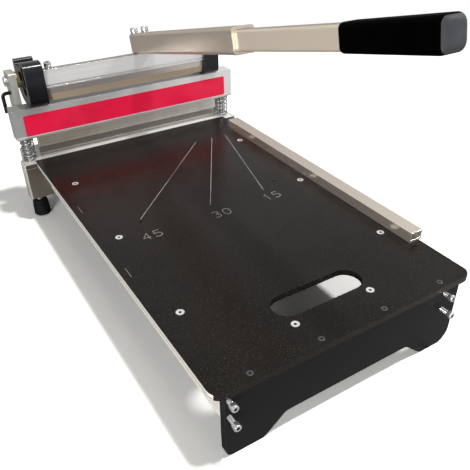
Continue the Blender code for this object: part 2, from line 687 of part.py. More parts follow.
def make_base_beam(mat):
    """The hollow aluminium beam under the blade: a ledge for the table's rear edge between two horns."""
    outline = [(BEAM_FRONT, BEAM_BOTTOM), (BEAM_FRONT, BEAM_TOP), (BEAM_REAR, BEAM_TOP), (BEAM_REAR, BEAM_BOTTOM)]
    half = BEAM_HALF - END_PLATE - GAP
    bm = bmesh.new()
    prism(bm, outline, -half, half, "x")
    beam = finish("base_beam", bm, mat)

    port = END_PORT
    front, rear = BEAM_FRONT + BEAM_WALL, BEAM_REAR - BEAM_WALL
    floor, roof, step = BEAM_BOTTOM + BEAM_WALL, BEAM_TOP - BEAM_ROOF, BEAM_LEDGE - BEAM_WALL
    port_a, port_b = (place[0] for place in end_peg_places())
    hollow = [(front, floor), (port_a - port, floor), (port_a - port, floor + port + BEAM_WALL),
              (port_a + port, floor + port + BEAM_WALL), (port_a + port, floor),
              (port_b - port, floor), (port_b - port, floor + port + BEAM_WALL),
              (port_b + port, floor + port + BEAM_WALL), (port_b + port, floor), (rear, floor), (rear, roof),
              (SEAT_Y + BEAM_WALL, roof), (SEAT_Y + BEAM_WALL, step), (front, step)]
    bm = bmesh.new()
    prism(bm, hollow, -half - OVERRUN, half + OVERRUN, "x")
    cut(beam, bm, "base_beam_hollow")

    bm = bmesh.new()
    box(bm, (-HALF_WIDTH - GAP, BEAM_FRONT - OVERRUN, BEAM_LEDGE), (HALF_WIDTH + GAP, SEAT_Y, BEAM_TOP + OVERRUN))
    for side in (-1, 1):
        path = end_path(side, END_PLATE + GAP)
        far = side * (BEAM_HALF + OVERRUN)
        corner = [path[1], path[2], (path[3][0], BEAM_REAR + OVERRUN), (far, BEAM_REAR + OVERRUN), (far, path[1][1])]
        prism(bm, corner, BEAM_BOTTOM - OVERRUN, BEAM_TOP + OVERRUN, "z")
    cut(beam, bm, "base_beam_corners")

    groove = BEAM_LEDGE + END_GROOVE_RISE
    bm = bmesh.new()
    for side in (-1, 1):
        near, far = sorted((side * HALF_WIDTH, side * (half + OVERRUN)))
        box(bm, (near, BEAM_FRONT - OVERRUN, groove), (far, BEAM_FRONT + END_GROOVE, groove + END_GROOVE_WIDTH))
    cut(beam, bm, "base_beam_grooves")

    bm = bmesh.new()
    for side in (-1, 1):
        above = BEAM_TOP + OVERRUN
        rod(bm, (side * GUIDE_SIDE, GUIDE_Y), ROD_RADIUS + GAP, BEAM_TOP - ROD_BURY - GAP, above, "z")
        rod(bm, foot_place(side), STUD_RADIUS + GAP, BEAM_BOTTOM - OVERRUN, floor + OVERRUN, "z", SMALL_SIDES)
        rod(bm, post_bolt_place(side), POST_BOLT_RADIUS + GAP, roof - OVERRUN, above, "z", SMALL_SIDES)
        for y, z, back in end_peg_places():
            rod(bm, (y, z), END_PEG_RADIUS + GAP, side * (half - back - END_PEG - GAP),
                side * (half - back + OVERRUN), "x", SMALL_SIDES)
    cut(beam, bm, "base_beam_holes")


def make_beam_end(name, side, mat):
    """The folded plate that closes one end of the beam."""
    plan = rounded([(x, y, END_PLATE / 2) for x, y in end_path(1, 0)]
                   + [(x, y, 0) for x, y in reversed(end_path(1, END_PLATE))])
    bm = bmesh.new()
    prism(bm, [(side * x, y) for x, y in plan], BEAM_BOTTOM, BEAM_TOP, "z")
    plate = finish(name, bm, mat)
    bm = bmesh.new()
    for y, z, back in end_peg_places():
        rod(bm, (y, z), END_PEG_RADIUS, side * (BEAM_HALF - back - END_PLATE - GAP - END_PEG),
            side * (BEAM_HALF - back - END_PLATE / 2), "x", SMALL_SIDES)
    cut(plate, bm, name + "_pegs", operation="UNION")


def make_cap_screw(name, mat, place, axis, seat, direction, radius, head, cap, length, parent=None):
    """Add one low round-headed screw, its head standing out of the seat along the direction."""
    base = seat + direction * GAP
    profile = [(radius, seat - direction * length), (radius, base), (head, base),
               (head, base + direction * cap / 2), (head - cap / 2, base + direction * cap)]
    bm = bmesh.new()
    turned(bm, place, profile, axis, SMALL_SIDES)
    return finish(name, bm, mat, parent)


def foot_place(side):
    """Give the place of a rear foot."""
    return (side * GUIDE_SIDE, BEAM_FRONT + FOOT_SETBACK)


def make_rear_foot(name, side, mat):
    """One rubber foot, turned, with a hole for its stud."""
    top = FLOOR_Z + FOOT_HEIGHT
    profile = [(FOOT_RADIUS - FOOT_ROUND, FLOOR_Z), (FOOT_RADIUS - FOOT_ROUND / 3, FLOOR_Z + FOOT_ROUND / 3),
               (FOOT_RADIUS, FLOOR_Z + FOOT_ROUND), (FOOT_WAIST, top - FOOT_ROUND),
               (FOOT_WAIST - FOOT_ROUND / 2, top)]
    bm = bmesh.new()
    turned(bm, foot_place(side), profile, "z")
    foot = finish(name, bm, mat)
    bm = bmesh.new()
    rod(bm, foot_place(side), STUD_RADIUS + GAP, top - STUD_BURY - GAP, top + OVERRUN, "z", SMALL_SIDES)
    cut(foot, bm, name + "_hole")


def make_foot_stud(name, side, mat):
    """The threaded stud of one rear foot, with its nut."""
    nut_top = BEAM_BOTTOM - GAP
    bm = bmesh.new()
    turned(bm, foot_place(side), [(STUD_RADIUS, FLOOR_Z + FOOT_HEIGHT - STUD_BURY),
                                  (STUD_RADIUS, nut_top - STUD_NUT_HEIGHT), (STUD_NUT, nut_top - STUD_NUT_HEIGHT),
                                  (STUD_NUT, nut_top), (STUD_RADIUS, nut_top),
                                  (STUD_RADIUS, BEAM_BOTTOM + BEAM_WALL)], "z", HEX_SIDES * 2)
    finish(name, bm, mat)


def make_fence(mat):
    """The square fence along the right edge: a channel with its mouth underneath."""
    x1 = HALF_WIDTH + FENCE_OVERHANG
    x0, front, rear = x1 - FENCE_WIDTH, FRONT_Y + FENCE_FRONT, FRONT_Y + FENCE_FRONT + FENCE_LENGTH
    bm = bmesh.new()
    box(bm, (x0, front, GAP), (x1, rear, GAP + FENCE_HEIGHT))
    fence = finish("fence", bm, mat)
    bm = bmesh.new()
    box(bm, (x0 + FENCE_WALL, front - OVERRUN, GAP + FENCE_WALL * 2),
        (x1 - FENCE_WALL, rear + OVERRUN, GAP + FENCE_HEIGHT - FENCE_WALL))
    cut(fence, bm, "fence_hollow")
    bm = bmesh.new()
    seat = TABLE_UNDER - GAP
    for place in fence_screw_places():
        profile = [(SCREW_HEAD_RADIUS, seat - SCREW_HEAD_DEPTH), (SCREW_HEAD_RADIUS, seat),
                   (SCREW_RADIUS, seat), (SCREW_RADIUS, GAP + FENCE_WALL)]
        turned(bm, place, profile, "z", SMALL_SIDES)
    cut(fence, bm, "fence_screws", operation="UNION")


def make_post(name, side, mat):
    """One upright post that carries the cam's pivot."""
    outline = rounded([(POST_FRONT, BEAM_TOP + GAP, 0), (POST_REAR, BEAM_TOP + GAP, 0),
                       (POST_REAR, POST_HEIGHT, POST_CORNER * 3), (POST_FRONT, POST_HEIGHT, POST_CORNER)])
    bm = bmesh.new()
    prism(bm, outline, side * POST_SIDE, side * POST_OUTER, "x")
    post = finish(name, bm, mat)
    bm = bmesh.new()
    low, high = side * (POST_SIDE - OVERRUN), side * (POST_OUTER + OVERRUN)
    rod(bm, (PIVOT_Y, PIVOT_HEIGHT), PIVOT_RADIUS + GAP, low, high, "x")
    if side < 0:
        rod(bm, (PIVOT_Y, PIVOT_HEIGHT - KEY_DROP), KEY_RADIUS + GAP, low, high, "x", SMALL_SIDES)
    bolt_end = BEAM_TOP + GAP + POST_BOLT_BITE
    rod(bm, post_bolt_place(side), POST_BOLT_RADIUS + GAP, -OVERRUN, bolt_end, "z", SMALL_SIDES)
    cut(post, bm, name + "_holes")


def make_pivot(side_name, side, mat_bolt, mat_collar):
    """The pivot bolt through a post, and the collar between the post and the cheek."""
    place = (PIVOT_Y, PIVOT_HEIGHT)
    seat = POST_OUTER + GAP
    bm = bmesh.new()
    turned(bm, place, [(PIVOT_HEAD_RADIUS, side * (seat + PIVOT_HEAD)), (PIVOT_HEAD_RADIUS, side * seat),
                       (PIVOT_RADIUS, side * seat), (PIVOT_RADIUS, side * (CHEEK_INNER + GAP))],
           "x", HEX_SIDES * 3)
    finish("pivot_bolt_" + side_name, bm, mat_bolt)
    bm = bmesh.new()
    low, high = side * (CHEEK_SIDE + GAP), side * (POST_SIDE - GAP)
    ring(bm, place, PIVOT_RADIUS + GAP, COLLAR_RADIUS, low, high, "x")
    finish("pivot_collar_" + side_name, bm, mat_collar)


def make_guide_rod(name, side, mat):
    """One guide rod, screwed into the beam and standing up into the carrier."""
    bm = bmesh.new()
    profile = [(ROD_RADIUS, BEAM_TOP - ROD_BURY), (ROD_RADIUS, ROD_HEIGHT - ROD_TIP),
               (ROD_RADIUS - ROD_TIP, ROD_HEIGHT)]
    turned(bm, (side * GUIDE_SIDE, GUIDE_Y), profile, "z")
    finish(name, bm, mat)


def make_guide_bush(name, side, parent, mat):
    """One bush in the carrier, which slides on a guide rod."""
    bm = bmesh.new()
    top = CARRIER_BOTTOM + BUSH_LENGTH
    ring(bm, (side * GUIDE_SIDE, GUIDE_Y), ROD_RADIUS + GAP, BUSH_RADIUS, CARRIER_BOTTOM, top, "z")
    finish(name, bm, mat, parent)


def spring_points(side):
    """Follow one return spring: close turns at both ends and an even climb between them."""
    low = BEAM_TOP + SPRING_WIRE + GAP
    high = CARRIER_BOTTOM - SPRING_WIRE - GAP
    open_pitch = (high - low - 2 * SPRING_END_PITCH) / (SPRING_TURNS - 2)
    points = []
    for i in range(SPRING_TURNS * SPRING_POINTS + 1):
        turn = i / SPRING_POINTS
        climb = SPRING_END_PITCH * (min(turn, 1) + max(turn - SPRING_TURNS + 1, 0))
        climb += open_pitch * min(max(turn - 1, 0), SPRING_TURNS - 2)
        angle = 2 * math.pi * turn
        points.append((side * GUIDE_SIDE + SPRING_RADIUS * math.cos(angle),
                       GUIDE_Y + SPRING_RADIUS * math.sin(angle), low + climb))
    return points


def spring_gap():
    """Measure the least gap between a spring's turns."""
    points = [Vector(p) for p in spring_points(1)]
    least = min((points[i] - points[j]).length for i in range(len(points))
                for j in range(i + SPRING_POINTS // 2, len(points)))
    return least - 2 * SPRING_WIRE


def make_spring(name, side, mat):
    """One return spring round a guide rod."""
    curve = bpy.data.curves.new(name, "CURVE")
    curve.dimensions = "3D"
    curve.bevel_depth = SPRING_WIRE
    curve.bevel_resolution = 1
    curve.use_fill_caps = True
    points = spring_points(side)
    spline = curve.splines.new("POLY")
    spline.points.add(len(points) - 1)
    for point, place in zip(spline.points, points):
        point.co = (*place, 1)
    curve.materials.append(mat)
    obj = bpy.data.objects.new(name, curve)
    bpy.context.collection.objects.link(obj)


def make_carrier(parent, mat):
    """The blade carrier: a bar with a slot for the blade underneath and bores for the guide rods."""
    lip = CARRIER_LIP
    outline = [(CARRIER_Y, CARRIER_BOTTOM + CARRIER_LIP_HEIGHT), (CARRIER_Y, CARRIER_TOP),
               (CARRIER_REAR, CARRIER_TOP), (CARRIER_REAR, CARRIER_BOTTOM), (CARRIER_Y + lip, CARRIER_BOTTOM)]
    bm = bmesh.new()
    prism(bm, outline, -CARRIER_HALF, CARRIER_HALF, "x")
    carrier = finish("blade_carrier", bm, mat, parent)

    half = BLADE_WIDTH / 2 + GAP
    slot_top, wall = BLADE_TOP + GAP, CARRIER_CORE_WALL
    bm = bmesh.new()
    box(bm, (-half, CLAMP_FRONT - GAP, CARRIER_BOTTOM - OVERRUN), (half, BLADE_REAR + GAP, slot_top))
    cut(carrier, bm, "blade_carrier_slot", parent)
    bm = bmesh.new()
    box(bm, (wall - half, CARRIER_Y + wall, slot_top - GAP),
        (half - wall, CARRIER_REAR - wall, CARRIER_TOP - wall))
    cut(carrier, bm, "blade_carrier_core", parent)
    bm = bmesh.new()
    for side in (-1, 1):
        shoulder = CARRIER_BOTTOM + BUSH_LENGTH + GAP
        profile = [(BUSH_RADIUS + GAP, CARRIER_BOTTOM - OVERRUN), (BUSH_RADIUS + GAP, shoulder),
                   (ROD_RADIUS + 2 * GAP, shoulder), (ROD_RADIUS + 2 * GAP, CARRIER_TOP - wall)]
        turned(bm, (side * GUIDE_SIDE, GUIDE_Y), profile, "z")
    for place in blade_screw_places():
        rod(bm, place, BLADE_SCREW_RADIUS + GAP, BLADE_REAR - OVERRUN, CARRIER_REAR + OVERRUN, "y",
            SMALL_SIDES)
    cut(carrier, bm, "blade_carrier_holes", parent)


def blade_screw_places():
    """Give the places of the screws that clamp the blade, on the carrier's back."""
    z = CARRIER_BOTTOM + BLADE_BURY / 2
    step = BLADE_SCREW_SPAN / (BLADE_SCREW_COUNT - 1)
    return [(-BLADE_SCREW_SPAN / 2 + step * i, z) for i in range(BLADE_SCREW_COUNT)]


def make_clamp_bar(parent, mat):
    """The bar that clamps the blade, in front of it and up in the carrier's slot with it."""
    rear, chamfer = CLAMP_FRONT + CLAMP_THICK, CLAMP_CHAMFER
    outline = [(CLAMP_FRONT, CLAMP_BOTTOM + chamfer), (CLAMP_FRONT, BLADE_TOP), (rear, BLADE_TOP),
               (rear, CLAMP_BOTTOM), (CLAMP_FRONT + chamfer, CLAMP_BOTTOM)]
    bm = bmesh.new()
    prism(bm, outline, -BLADE_WIDTH / 2, BLADE_WIDTH / 2, "x")
    bar = finish("blade_clamp_bar", bm, mat, parent)
    bm = bmesh.new()
    for place in blade_screw_places():
        rod(bm, place, BLADE_SCREW_RADIUS + GAP, rear - BLADE_SCREW_BITE - GAP, rear + OVERRUN, "y",
            SMALL_SIDES)
    cut(bar, bm, "blade_clamp_bar_holes", parent)


def make_label(parent, mat):
    """The plain label plate on the carrier's front."""
    bm = bmesh.new()
    half, top = HALF_WIDTH + LABEL_OVERHANG, CARRIER_TOP - LABEL_DROP
    outline = rectangle(-half, top - LABEL_HEIGHT, half, top, LABEL_CORNER)
    prism(bm, outline, CARRIER_Y - GAP - LABEL_THICK, CARRIER_Y - GAP, "y")
    finish("label_plate", bm, mat, parent)


def make_blade(parent, mat):
    """The straight blade, bevelled on its front, with holes for its screws."""
    bottom = BEAM_TOP + BLADE_CLEAR
    outline = [(BLADE_FRONT, bottom + BLADE_BEVEL), (BLADE_FRONT, BLADE_TOP), (BLADE_REAR, BLADE_TOP),
               (BLADE_REAR, bottom), (BLADE_REAR - BLADE_EDGE, bottom)]
    bm = bmesh.new()
    prism(bm, outline, -BLADE_WIDTH / 2, BLADE_WIDTH / 2, "x")
    blade = finish("cutting_blade", bm, mat, parent)
    bm = bmesh.new()
    for place in blade_screw_places():
        rod(bm, place, BLADE_SCREW_RADIUS + GAP, BLADE_FRONT - OVERRUN, BLADE_REAR + OVERRUN, "y", SMALL_SIDES)
    cut(blade, bm, "cutting_blade_holes", parent)


def cheek_span():
    """Give a cheek's front and back: the cam circle's, or further back where the hub needs it."""
    centre = PIVOT_Y - CAM_LEAD
    hub_back = PIVOT_Y + PIVOT_RADIUS + CHEEK_BUSH_WALL + CHEEK_RIM
    return centre - CAM_RADIUS, max(centre + CAM_RADIUS, hub_back)


def cheek_outline():
    """Draw a cheek from the side: a blunt nose in front, a toe and a cam circle below, and a lobe behind."""
    front, back = cheek_span()
    bottom = PIVOT_HEIGHT - CAM_RADIUS
    nose_back, lobe_front = front + CHEEK_NOSE_DEPTH, back - CHEEK_LOBE_DEPTH
    arc = 2 * ARC_STEPS
    lower = rounded([(front, bottom, CHEEK_TOE_SHARE * CAM_RADIUS), (back, bottom, CAM_RADIUS - GAP),
                     (back, PIVOT_HEIGHT, 0), (front, PIVOT_HEIGHT, 0)], arc)
    upper = rounded([(back, CHEEK_LOBE_TOP, 2 * CHEEK_ROUND), (lobe_front, CHEEK_LOBE_TOP, CHEEK_ROUND),
                     (lobe_front, CHEEK_SADDLE, CHEEK_ROUND), (nose_back, CHEEK_SADDLE, CHEEK_ROUND / 2),
                     (nose_back, CHEEK_TOP, CHEEK_ROUND), (front, CHEEK_TOP, CHEEK_NOSE_ROUND),
                     (front, PIVOT_HEIGHT, 0), (back, PIVOT_HEIGHT, 0)], 3)
    return lower[:-2] + upper[:-2]


def make_cheek(name, side, parent, mat):
    """One black cam cheek, ribbed and open on its outer side."""
    bm = bmesh.new()
    prism(bm, cheek_outline(), side * CHEEK_INNER, side * CHEEK_SIDE, "x")
    cheek = finish(name, bm, mat, parent)
    rim, hub, round_ = CHEEK_RIM, CHEEK_HUB, CHEEK_ROUND
    outer_front, _ = cheek_span()
    front, middle, floor = outer_front + rim, PIVOT_Y - CAM_LEAD, PIVOT_HEIGHT - CAM_RADIUS + rim
    nose_back = outer_front + CHEEK_NOSE_DEPTH - rim
    low, high = side * (CHEEK_SIDE - CHEEK_POCKET), side * (CHEEK_SIDE + OVERRUN)
    cells = [
        (front, PIVOT_HEIGHT - rim / 2, nose_back, CHEEK_TOP - rim),
        (nose_back + rim / 2, PIVOT_HEIGHT + rim / 2, PIVOT_Y - hub, CHEEK_SADDLE - rim),
        (front + rim, max(PIVOT_HEIGHT - rim - hub, floor), middle - rim / 2, PIVOT_HEIGHT - rim),
    ]
    bm = bmesh.new()
    for left, lowest, right, highest in cells:
        # a pocket too small for its round corners is left solid
        if min(right - left, highest - lowest) > 2 * round_:
            outline = [(left, lowest, round_), (right, lowest, round_), (right, highest, round_),
                       (left, highest, round_)]
            prism(bm, rounded(outline, 2), low, high, "x")
    cut(cheek, bm, name + "_pockets", parent)
    bm = bmesh.new()
    low, high = side * (CHEEK_INNER - CHEEK_BOSS), side * (CHEEK_INNER + CHEEK_RIM)
    rod(bm, TUBE_CORE, TUBE_CORE_RADIUS - GAP, low, high, "x")
    cut(cheek, bm, name + "_boss", parent, operation="UNION")
    bm = bmesh.new()
    rod(bm, (PIVOT_Y, PIVOT_HEIGHT), PIVOT_RADIUS + CHEEK_BUSH_WALL + 2 * GAP, side * (CHEEK_INNER - OVERRUN),
        side * (CHEEK_SIDE + OVERRUN), "x")
    cut(cheek, bm, name + "_bore", parent)


def make_cheek_bush(name, side, parent, mat):
    """The bush in a cheek, turning on the pivot bolt."""
    bm = bmesh.new()
    ring(bm, (PIVOT_Y, PIVOT_HEIGHT), PIVOT_RADIUS + GAP, PIVOT_RADIUS + GAP + CHEEK_BUSH_WALL,
         side * CHEEK_INNER, side * CHEEK_SIDE, "x")
    finish(name, bm, mat, parent)


def tube_outline():
    """Draw the cam tube from the side: a lower face, a ridge, a tall front face and a sloping top."""
    top_y, top_z = TUBE_FRONT_TOP
    lower_front = PIVOT_Y - CAM_LEAD - TUBE_LOWER_FRONT
    back = PIVOT_Y + TUBE_BACK
    bottom = PIVOT_HEIGHT - TUBE_LOWER_BOTTOM
    ridge_z = PIVOT_HEIGHT - TUBE_RIDGE_DROP
    ridge = TUBE_RIDGE
    top_back_z = top_z - (back - top_y) * math.tan(LEVER_SLOPE)
    return [(lower_front + ridge, bottom), (lower_front + ridge / 2, ridge_z), (lower_front - ridge, ridge_z),
            (lower_front - ridge, ridge_z + ridge), (lower_front, ridge_z + ridge),
            (lower_front, ridge_z + 2 * ridge), (lower_front - ridge / 2, ridge_z + 2 * ridge), (top_y, top_z),
            (back, top_back_z), (back, PIVOT_HEIGHT - TUBE_BACK_DROP), (back - TUBE_BACK_DROP, bottom)]


def make_cam_tube(parent, mat):
    """The aluminium cam tube between the cheeks, bored through."""
    bm = bmesh.new()
    prism(bm, tube_outline(), -TUBE_HALF, TUBE_HALF, "x")
    tube = finish("cam_tube", bm, mat, parent)
    bm = bmesh.new()
    rod(bm, TUBE_CORE, TUBE_CORE_RADIUS, -TUBE_HALF - OVERRUN, TUBE_HALF + OVERRUN, "x")
    cut(tube, bm, "cam_tube_bore", parent)


def make_on_lever(frame, tube_mat, collar_mat, steel_mat):
    """The lever arm, its collar and its two bolts, drawn in the lever's own line."""
    half, length = LEVER_SIZE / 2, LEVER_LENGTH
    inner = half - LEVER_WALL
    bm = bmesh.new()
    prism(bm, rectangle(-half, 0, half, LEVER_SIZE, LEVER_ROUND), -length, 0, "y")
    arm = finish("lever_arm", bm, tube_mat, frame, local=True)
    bm = bmesh.new()
    hollow = rectangle(-inner, LEVER_WALL, inner, LEVER_SIZE - LEVER_WALL, LEVER_ROUND / 2)
    prism(bm, hollow, -length - OVERRUN, OVERRUN, "y")
    cut(arm, bm, "lever_arm_hollow", frame, local=True)
    bm = bmesh.new()
    for side in (-1, 1):
        rod(bm, lever_bolt_place(side), LEVER_BOLT_RADIUS + GAP, -OVERRUN, LEVER_SIZE + OVERRUN, "z",
            SMALL_SIDES)
    cut(arm, bm, "lever_arm_holes", frame, local=True)

    bm = bmesh.new()
    proud = half + COLLAR_PROUD
    prism(bm, rectangle(-proud, -COLLAR_PROUD, proud, LEVER_SIZE + COLLAR_PROUD, LEVER_ROUND + COLLAR_PROUD),
          -length - GAP - COLLAR_LENGTH, -length - GAP, "y")
    collar = finish("lever_collar", bm, collar_mat, frame, local=True)
    bm = bmesh.new()
    mouth = EXTENSION_SIZE / 2 + GAP
    prism(bm, rectangle(-mouth, half - mouth, mouth, half + mouth, EXTENSION_ROUND + GAP),
          -length - GAP - COLLAR_LENGTH - OVERRUN, -length + OVERRUN, "y")
    cut(collar, bm, "lever_collar_mouth", frame, local=True)

    seat = LEVER_SIZE + GAP
    for side_name, side in SIDES:
        name = "lever_bolt_" + side_name
        place = lever_bolt_place(side)
        bm = bmesh.new()
        profile = [(LEVER_BOLT_RADIUS, -LEVER_BOLT_BITE), (LEVER_BOLT_RADIUS, seat),
                   (LEVER_BOLT_HEAD_RADIUS, seat), (LEVER_BOLT_HEAD_RADIUS, seat + LEVER_BOLT_HEAD)]
        turned(bm, place, profile, "z", SMALL_SIDES)
        bolt = finish(name, bm, steel_mat, frame, local=True)
        bm = bmesh.new()
        socket = seat + LEVER_BOLT_HEAD / 2
        rod(bm, place, LEVER_BOLT_RADIUS, socket, seat + LEVER_BOLT_HEAD + OVERRUN, "z", HEX_SIDES)
        cut(bolt, bm, name + "_hex", frame, local=True)

    holes = bmesh.new()
    for side in (-1, 1):
        rod(holes, lever_bolt_place(side), LEVER_BOLT_RADIUS + GAP, -LEVER_BOLT_BITE - GAP, OVERRUN, "z",
            SMALL_SIDES)
    cut(bpy.data.objects["cam_tube"], holes, "cam_tube_bolt_holes", frame, local=True)


def lever_bolt_place(side):
    """Give the place of one lever bolt in the lever's own line."""
    return (side * LEVER_BOLT_SPACING / 2, -LEVER_BOLT_FORWARD)


def set_screw_reach(forward):
    """Work out how deep a set screw goes to stop just short of the cheek's boss."""
    rise = TUBE_CORE[1] - (TUBE_FRONT_TOP[1] - LEVER_ROOT_SETBACK * math.tan(LEVER_SLOPE) + GAP)
    back = TUBE_CORE[0] - (TUBE_FRONT_TOP[0] + LEVER_ROOT_SETBACK)
    along = back * math.cos(LEVER_SLOPE) - rise * math.sin(LEVER_SLOPE) + forward
    down = -back * math.sin(LEVER_SLOPE) - rise * math.cos(LEVER_SLOPE)
    return down - math.sqrt(TUBE_CORE_RADIUS ** 2 - along ** 2) - GAP


def make_set_screws(frame, mat):
    """The screws on the tube's top, one near each cheek."""
    holes = bmesh.new()
    forward = (LEVER_ROOT_SETBACK - SET_SCREW_SETBACK) / math.cos(LEVER_SLOPE)
    reach = set_screw_reach(forward)
    for side_name, side in SIDES:
        place = (side * (TUBE_HALF - SET_SCREW_INSET) - LEVER_OFFSET, -forward)
        bm = bmesh.new()
        turned(bm, place, [(SET_SCREW_SHANK, -reach), (SET_SCREW_SHANK, 0), (SET_SCREW_RADIUS, 0),
                           (SET_SCREW_RADIUS, SET_SCREW_HEAD)], "z", SMALL_SIDES)
        finish("cam_set_screw_" + side_name, bm, mat, frame, local=True)
        rod(holes, place, SET_SCREW_SHANK + GAP, -reach - 2 * GAP, OVERRUN, "z", SMALL_SIDES)
    cut(bpy.data.objects["cam_tube"], holes, "cam_tube_set_holes", frame, local=True)


def make_extension(frame, mat, grip_mat):
    """The sliding inner tube and the grip on its end, drawn in the lever's own line."""
    half = EXTENSION_SIZE / 2
    middle = LEVER_SIZE / 2
    start = -(LEVER_LENGTH + COLLAR_LENGTH - EXTENSION_HIDDEN)
    shown_end = -(LEVER_LENGTH + GAP + COLLAR_LENGTH + EXTENSION_SHOWN)
    end = shown_end - EXTENSION_IN_GRIP
    bm = bmesh.new()
    prism(bm, rectangle(-half, middle - half, half, middle + half, EXTENSION_ROUND), end, start, "y")
    tube = finish("lever_extension", bm, mat, frame, local=True)
    inner = half - EXTENSION_WALL
    bm = bmesh.new()
    hollow = rectangle(-inner, middle - inner, inner, middle + inner, EXTENSION_ROUND / 2)
    prism(bm, hollow, end - OVERRUN, start + OVERRUN, "y")
    cut(tube, bm, "lever_extension_hollow", frame, local=True)

    bm = bmesh.new()
    levels = [(0, -GRIP_ROUND / 2, GRIP_ROUND), (GRIP_ROUND / 2, 0, GRIP_ROUND),
              (GRIP_LENGTH - GRIP_END_ROUND, GRIP_END_GROWTH, GRIP_ROUND),
              (GRIP_LENGTH - GRIP_END_ROUND / 3, GRIP_END_GROWTH - GRIP_END_ROUND / 4, GRIP_ROUND),
              (GRIP_LENGTH, GRIP_END_GROWTH - GRIP_END_ROUND * 3 / 4, GRIP_ROUND / 2)]
    rings = []
    for along, grow, radius in levels:
        width, height = GRIP_WIDTH / 2 + grow, GRIP_HEIGHT / 2 + grow
        outline = rectangle(-width, middle - height, width, middle + height, radius)
        rings.append([bm.verts.new((x, shown_end - along, z)) for x, z in outline])
    bm.faces.new(rings[0])
    bm.faces.new(rings[-1])
    for near, far in zip(rings, rings[1:]):
        for i in range(len(near)):
            j = (i + 1) % len(near)
            bm.faces.new((near[i], near[j], far[j], far[i]))
    grip = finish("grip", bm, grip_mat, frame, local=True)
    bm = bmesh.new()
    bore = half + GAP
    prism(bm, rectangle(-bore, middle - bore, bore, middle + bore, EXTENSION_ROUND + GAP), end - GAP,
          shown_end + OVERRUN, "y")
    cut(grip, bm, "grip_bore", frame, local=True)


def make_hex_key(mat):
    """The black hex key parked in the left post."""
    z = PIVOT_HEIGHT - KEY_DROP
    inner, corner = -(POST_SIDE + GAP), -(POST_OUTER + KEY_STICKOUT)
    route = [(inner, z), (corner + KEY_BEND, z)]
    for i in range(1, ARC_STEPS):
        angle = math.pi / 2 * i / ARC_STEPS
        route.append((corner + KEY_BEND * (1 - math.sin(angle)), z - KEY_BEND * (1 - math.cos(angle))))
    route += [(corner, z - KEY_BEND), (corner, z - KEY_ARM)]
    curve = bpy.data.curves.new("hex_key", "CURVE")
    curve.dimensions = "3D"
    curve.bevel_depth = KEY_RADIUS
    curve.bevel_resolution = 2
    curve.use_fill_caps = True
    spline = curve.splines.new("POLY")
    spline.points.add(len(route) - 1)
    for point, (x, height) in zip(spline.points, route):
        point.co = (x, PIVOT_Y, height, 1)
    curve.materials.append(mat)
    obj = bpy.data.objects.new("hex_key", curve)
    bpy.context.collection.objects.link(obj)


def main():
    """Build the cutter."""
    clear_scene()
    black_panel = material("black_panel", (0.016, 0.015, 0.015), 0.55)
    aluminium = material("aluminium", (0.62, 0.61, 0.58), 0.3, 1.0)
    champagne = material("champagne", (0.52, 0.45, 0.37), 0.35, 1.0)
    steel = material("steel", (0.66, 0.66, 0.66), 0.25, 1.0)
    blade_steel = material("blade_steel", (0.45, 0.44, 0.42), 0.3, 1.0)
    black_steel = material("black_steel", (0.02, 0.02, 0.02), 0.45)
    black_plastic = material("black_plastic", (0.018, 0.018, 0.022), 0.4)
    rubber = material("rubber", (0.02, 0.02, 0.02), 0.8)
    brass = material("brass", (0.55, 0.42, 0.2), 0.35, 1.0)
    red_label = material("red_label", (0.75, 0.02, 0.06), 0.35)
    foam = material("foam", (0.012, 0.012, 0.014), 0.7)

    make_worktable(black_panel)
    make_table_screws(steel)
    make_front_leg(black_panel)
    make_leg_brace(aluminium)
    make_rail_bolts(steel)
    make_base_beam(aluminium)
    make_fence(aluminium)
    make_hex_key(black_steel)

    slide = empty("carrier_slide", (0, CARRIER_Y, CARRIER_TOP))
    pivot = empty("lever_pivot", (0, PIVOT_Y, PIVOT_HEIGHT))
    root_y = TUBE_FRONT_TOP[0] + LEVER_ROOT_SETBACK
    root_z = TUBE_FRONT_TOP[1] - LEVER_ROOT_SETBACK * math.tan(LEVER_SLOPE) + GAP
    lever = empty("lever_line", (LEVER_OFFSET, root_y, root_z), -LEVER_SLOPE, pivot)

    make_carrier(slide, aluminium)
    make_clamp_bar(slide, aluminium)
    make_blade(slide, blade_steel)
    make_label(slide, red_label)
    screw_length = CARRIER_REAR - BLADE_FRONT + GAP + BLADE_SCREW_BITE
    for number, place in enumerate(blade_screw_places(), 1):
        make_cap_screw(f"blade_screw_{number}", steel, place, "y", CARRIER_REAR, 1, BLADE_SCREW_RADIUS,
                       BLADE_SCREW_HEAD, BLADE_SCREW_CAP, screw_length, slide)
    make_cam_tube(pivot, aluminium)
    for name, side in SIDES:
        make_rail("rail_" + name, side, aluminium)
        make_beam_end("beam_end_" + name, side, aluminium)
        make_rear_foot("rear_foot_" + name, side, rubber)
        make_foot_stud("foot_stud_" + name, side, steel)
        make_post("post_" + name, side, aluminium)
        make_cap_screw("post_bolt_" + name, steel, post_bolt_place(side), "z", BEAM_TOP - BEAM_ROOF, -1,
                       POST_BOLT_RADIUS, POST_BOLT_HEAD, POST_BOLT_CAP, BEAM_ROOF + POST_BOLT_BITE)
        make_pivot(name, side, steel, brass)
        make_guide_rod("guide_rod_" + name, side, steel)
        make_guide_bush("guide_bush_" + name, side, slide, brass)
        make_spring("return_spring_" + name, side, steel)
        make_cheek("cam_cheek_" + name, side, pivot, black_plastic)
        make_cheek_bush("cheek_bush_" + name, side, pivot, brass)
    make_on_lever(lever, champagne, aluminium, steel)
    make_set_screws(lever, steel)
    make_extension(lever, champagne, foam)
    print(f"least gap between a spring's turns: {spring_gap() * 1000:.2f} mm")


main()
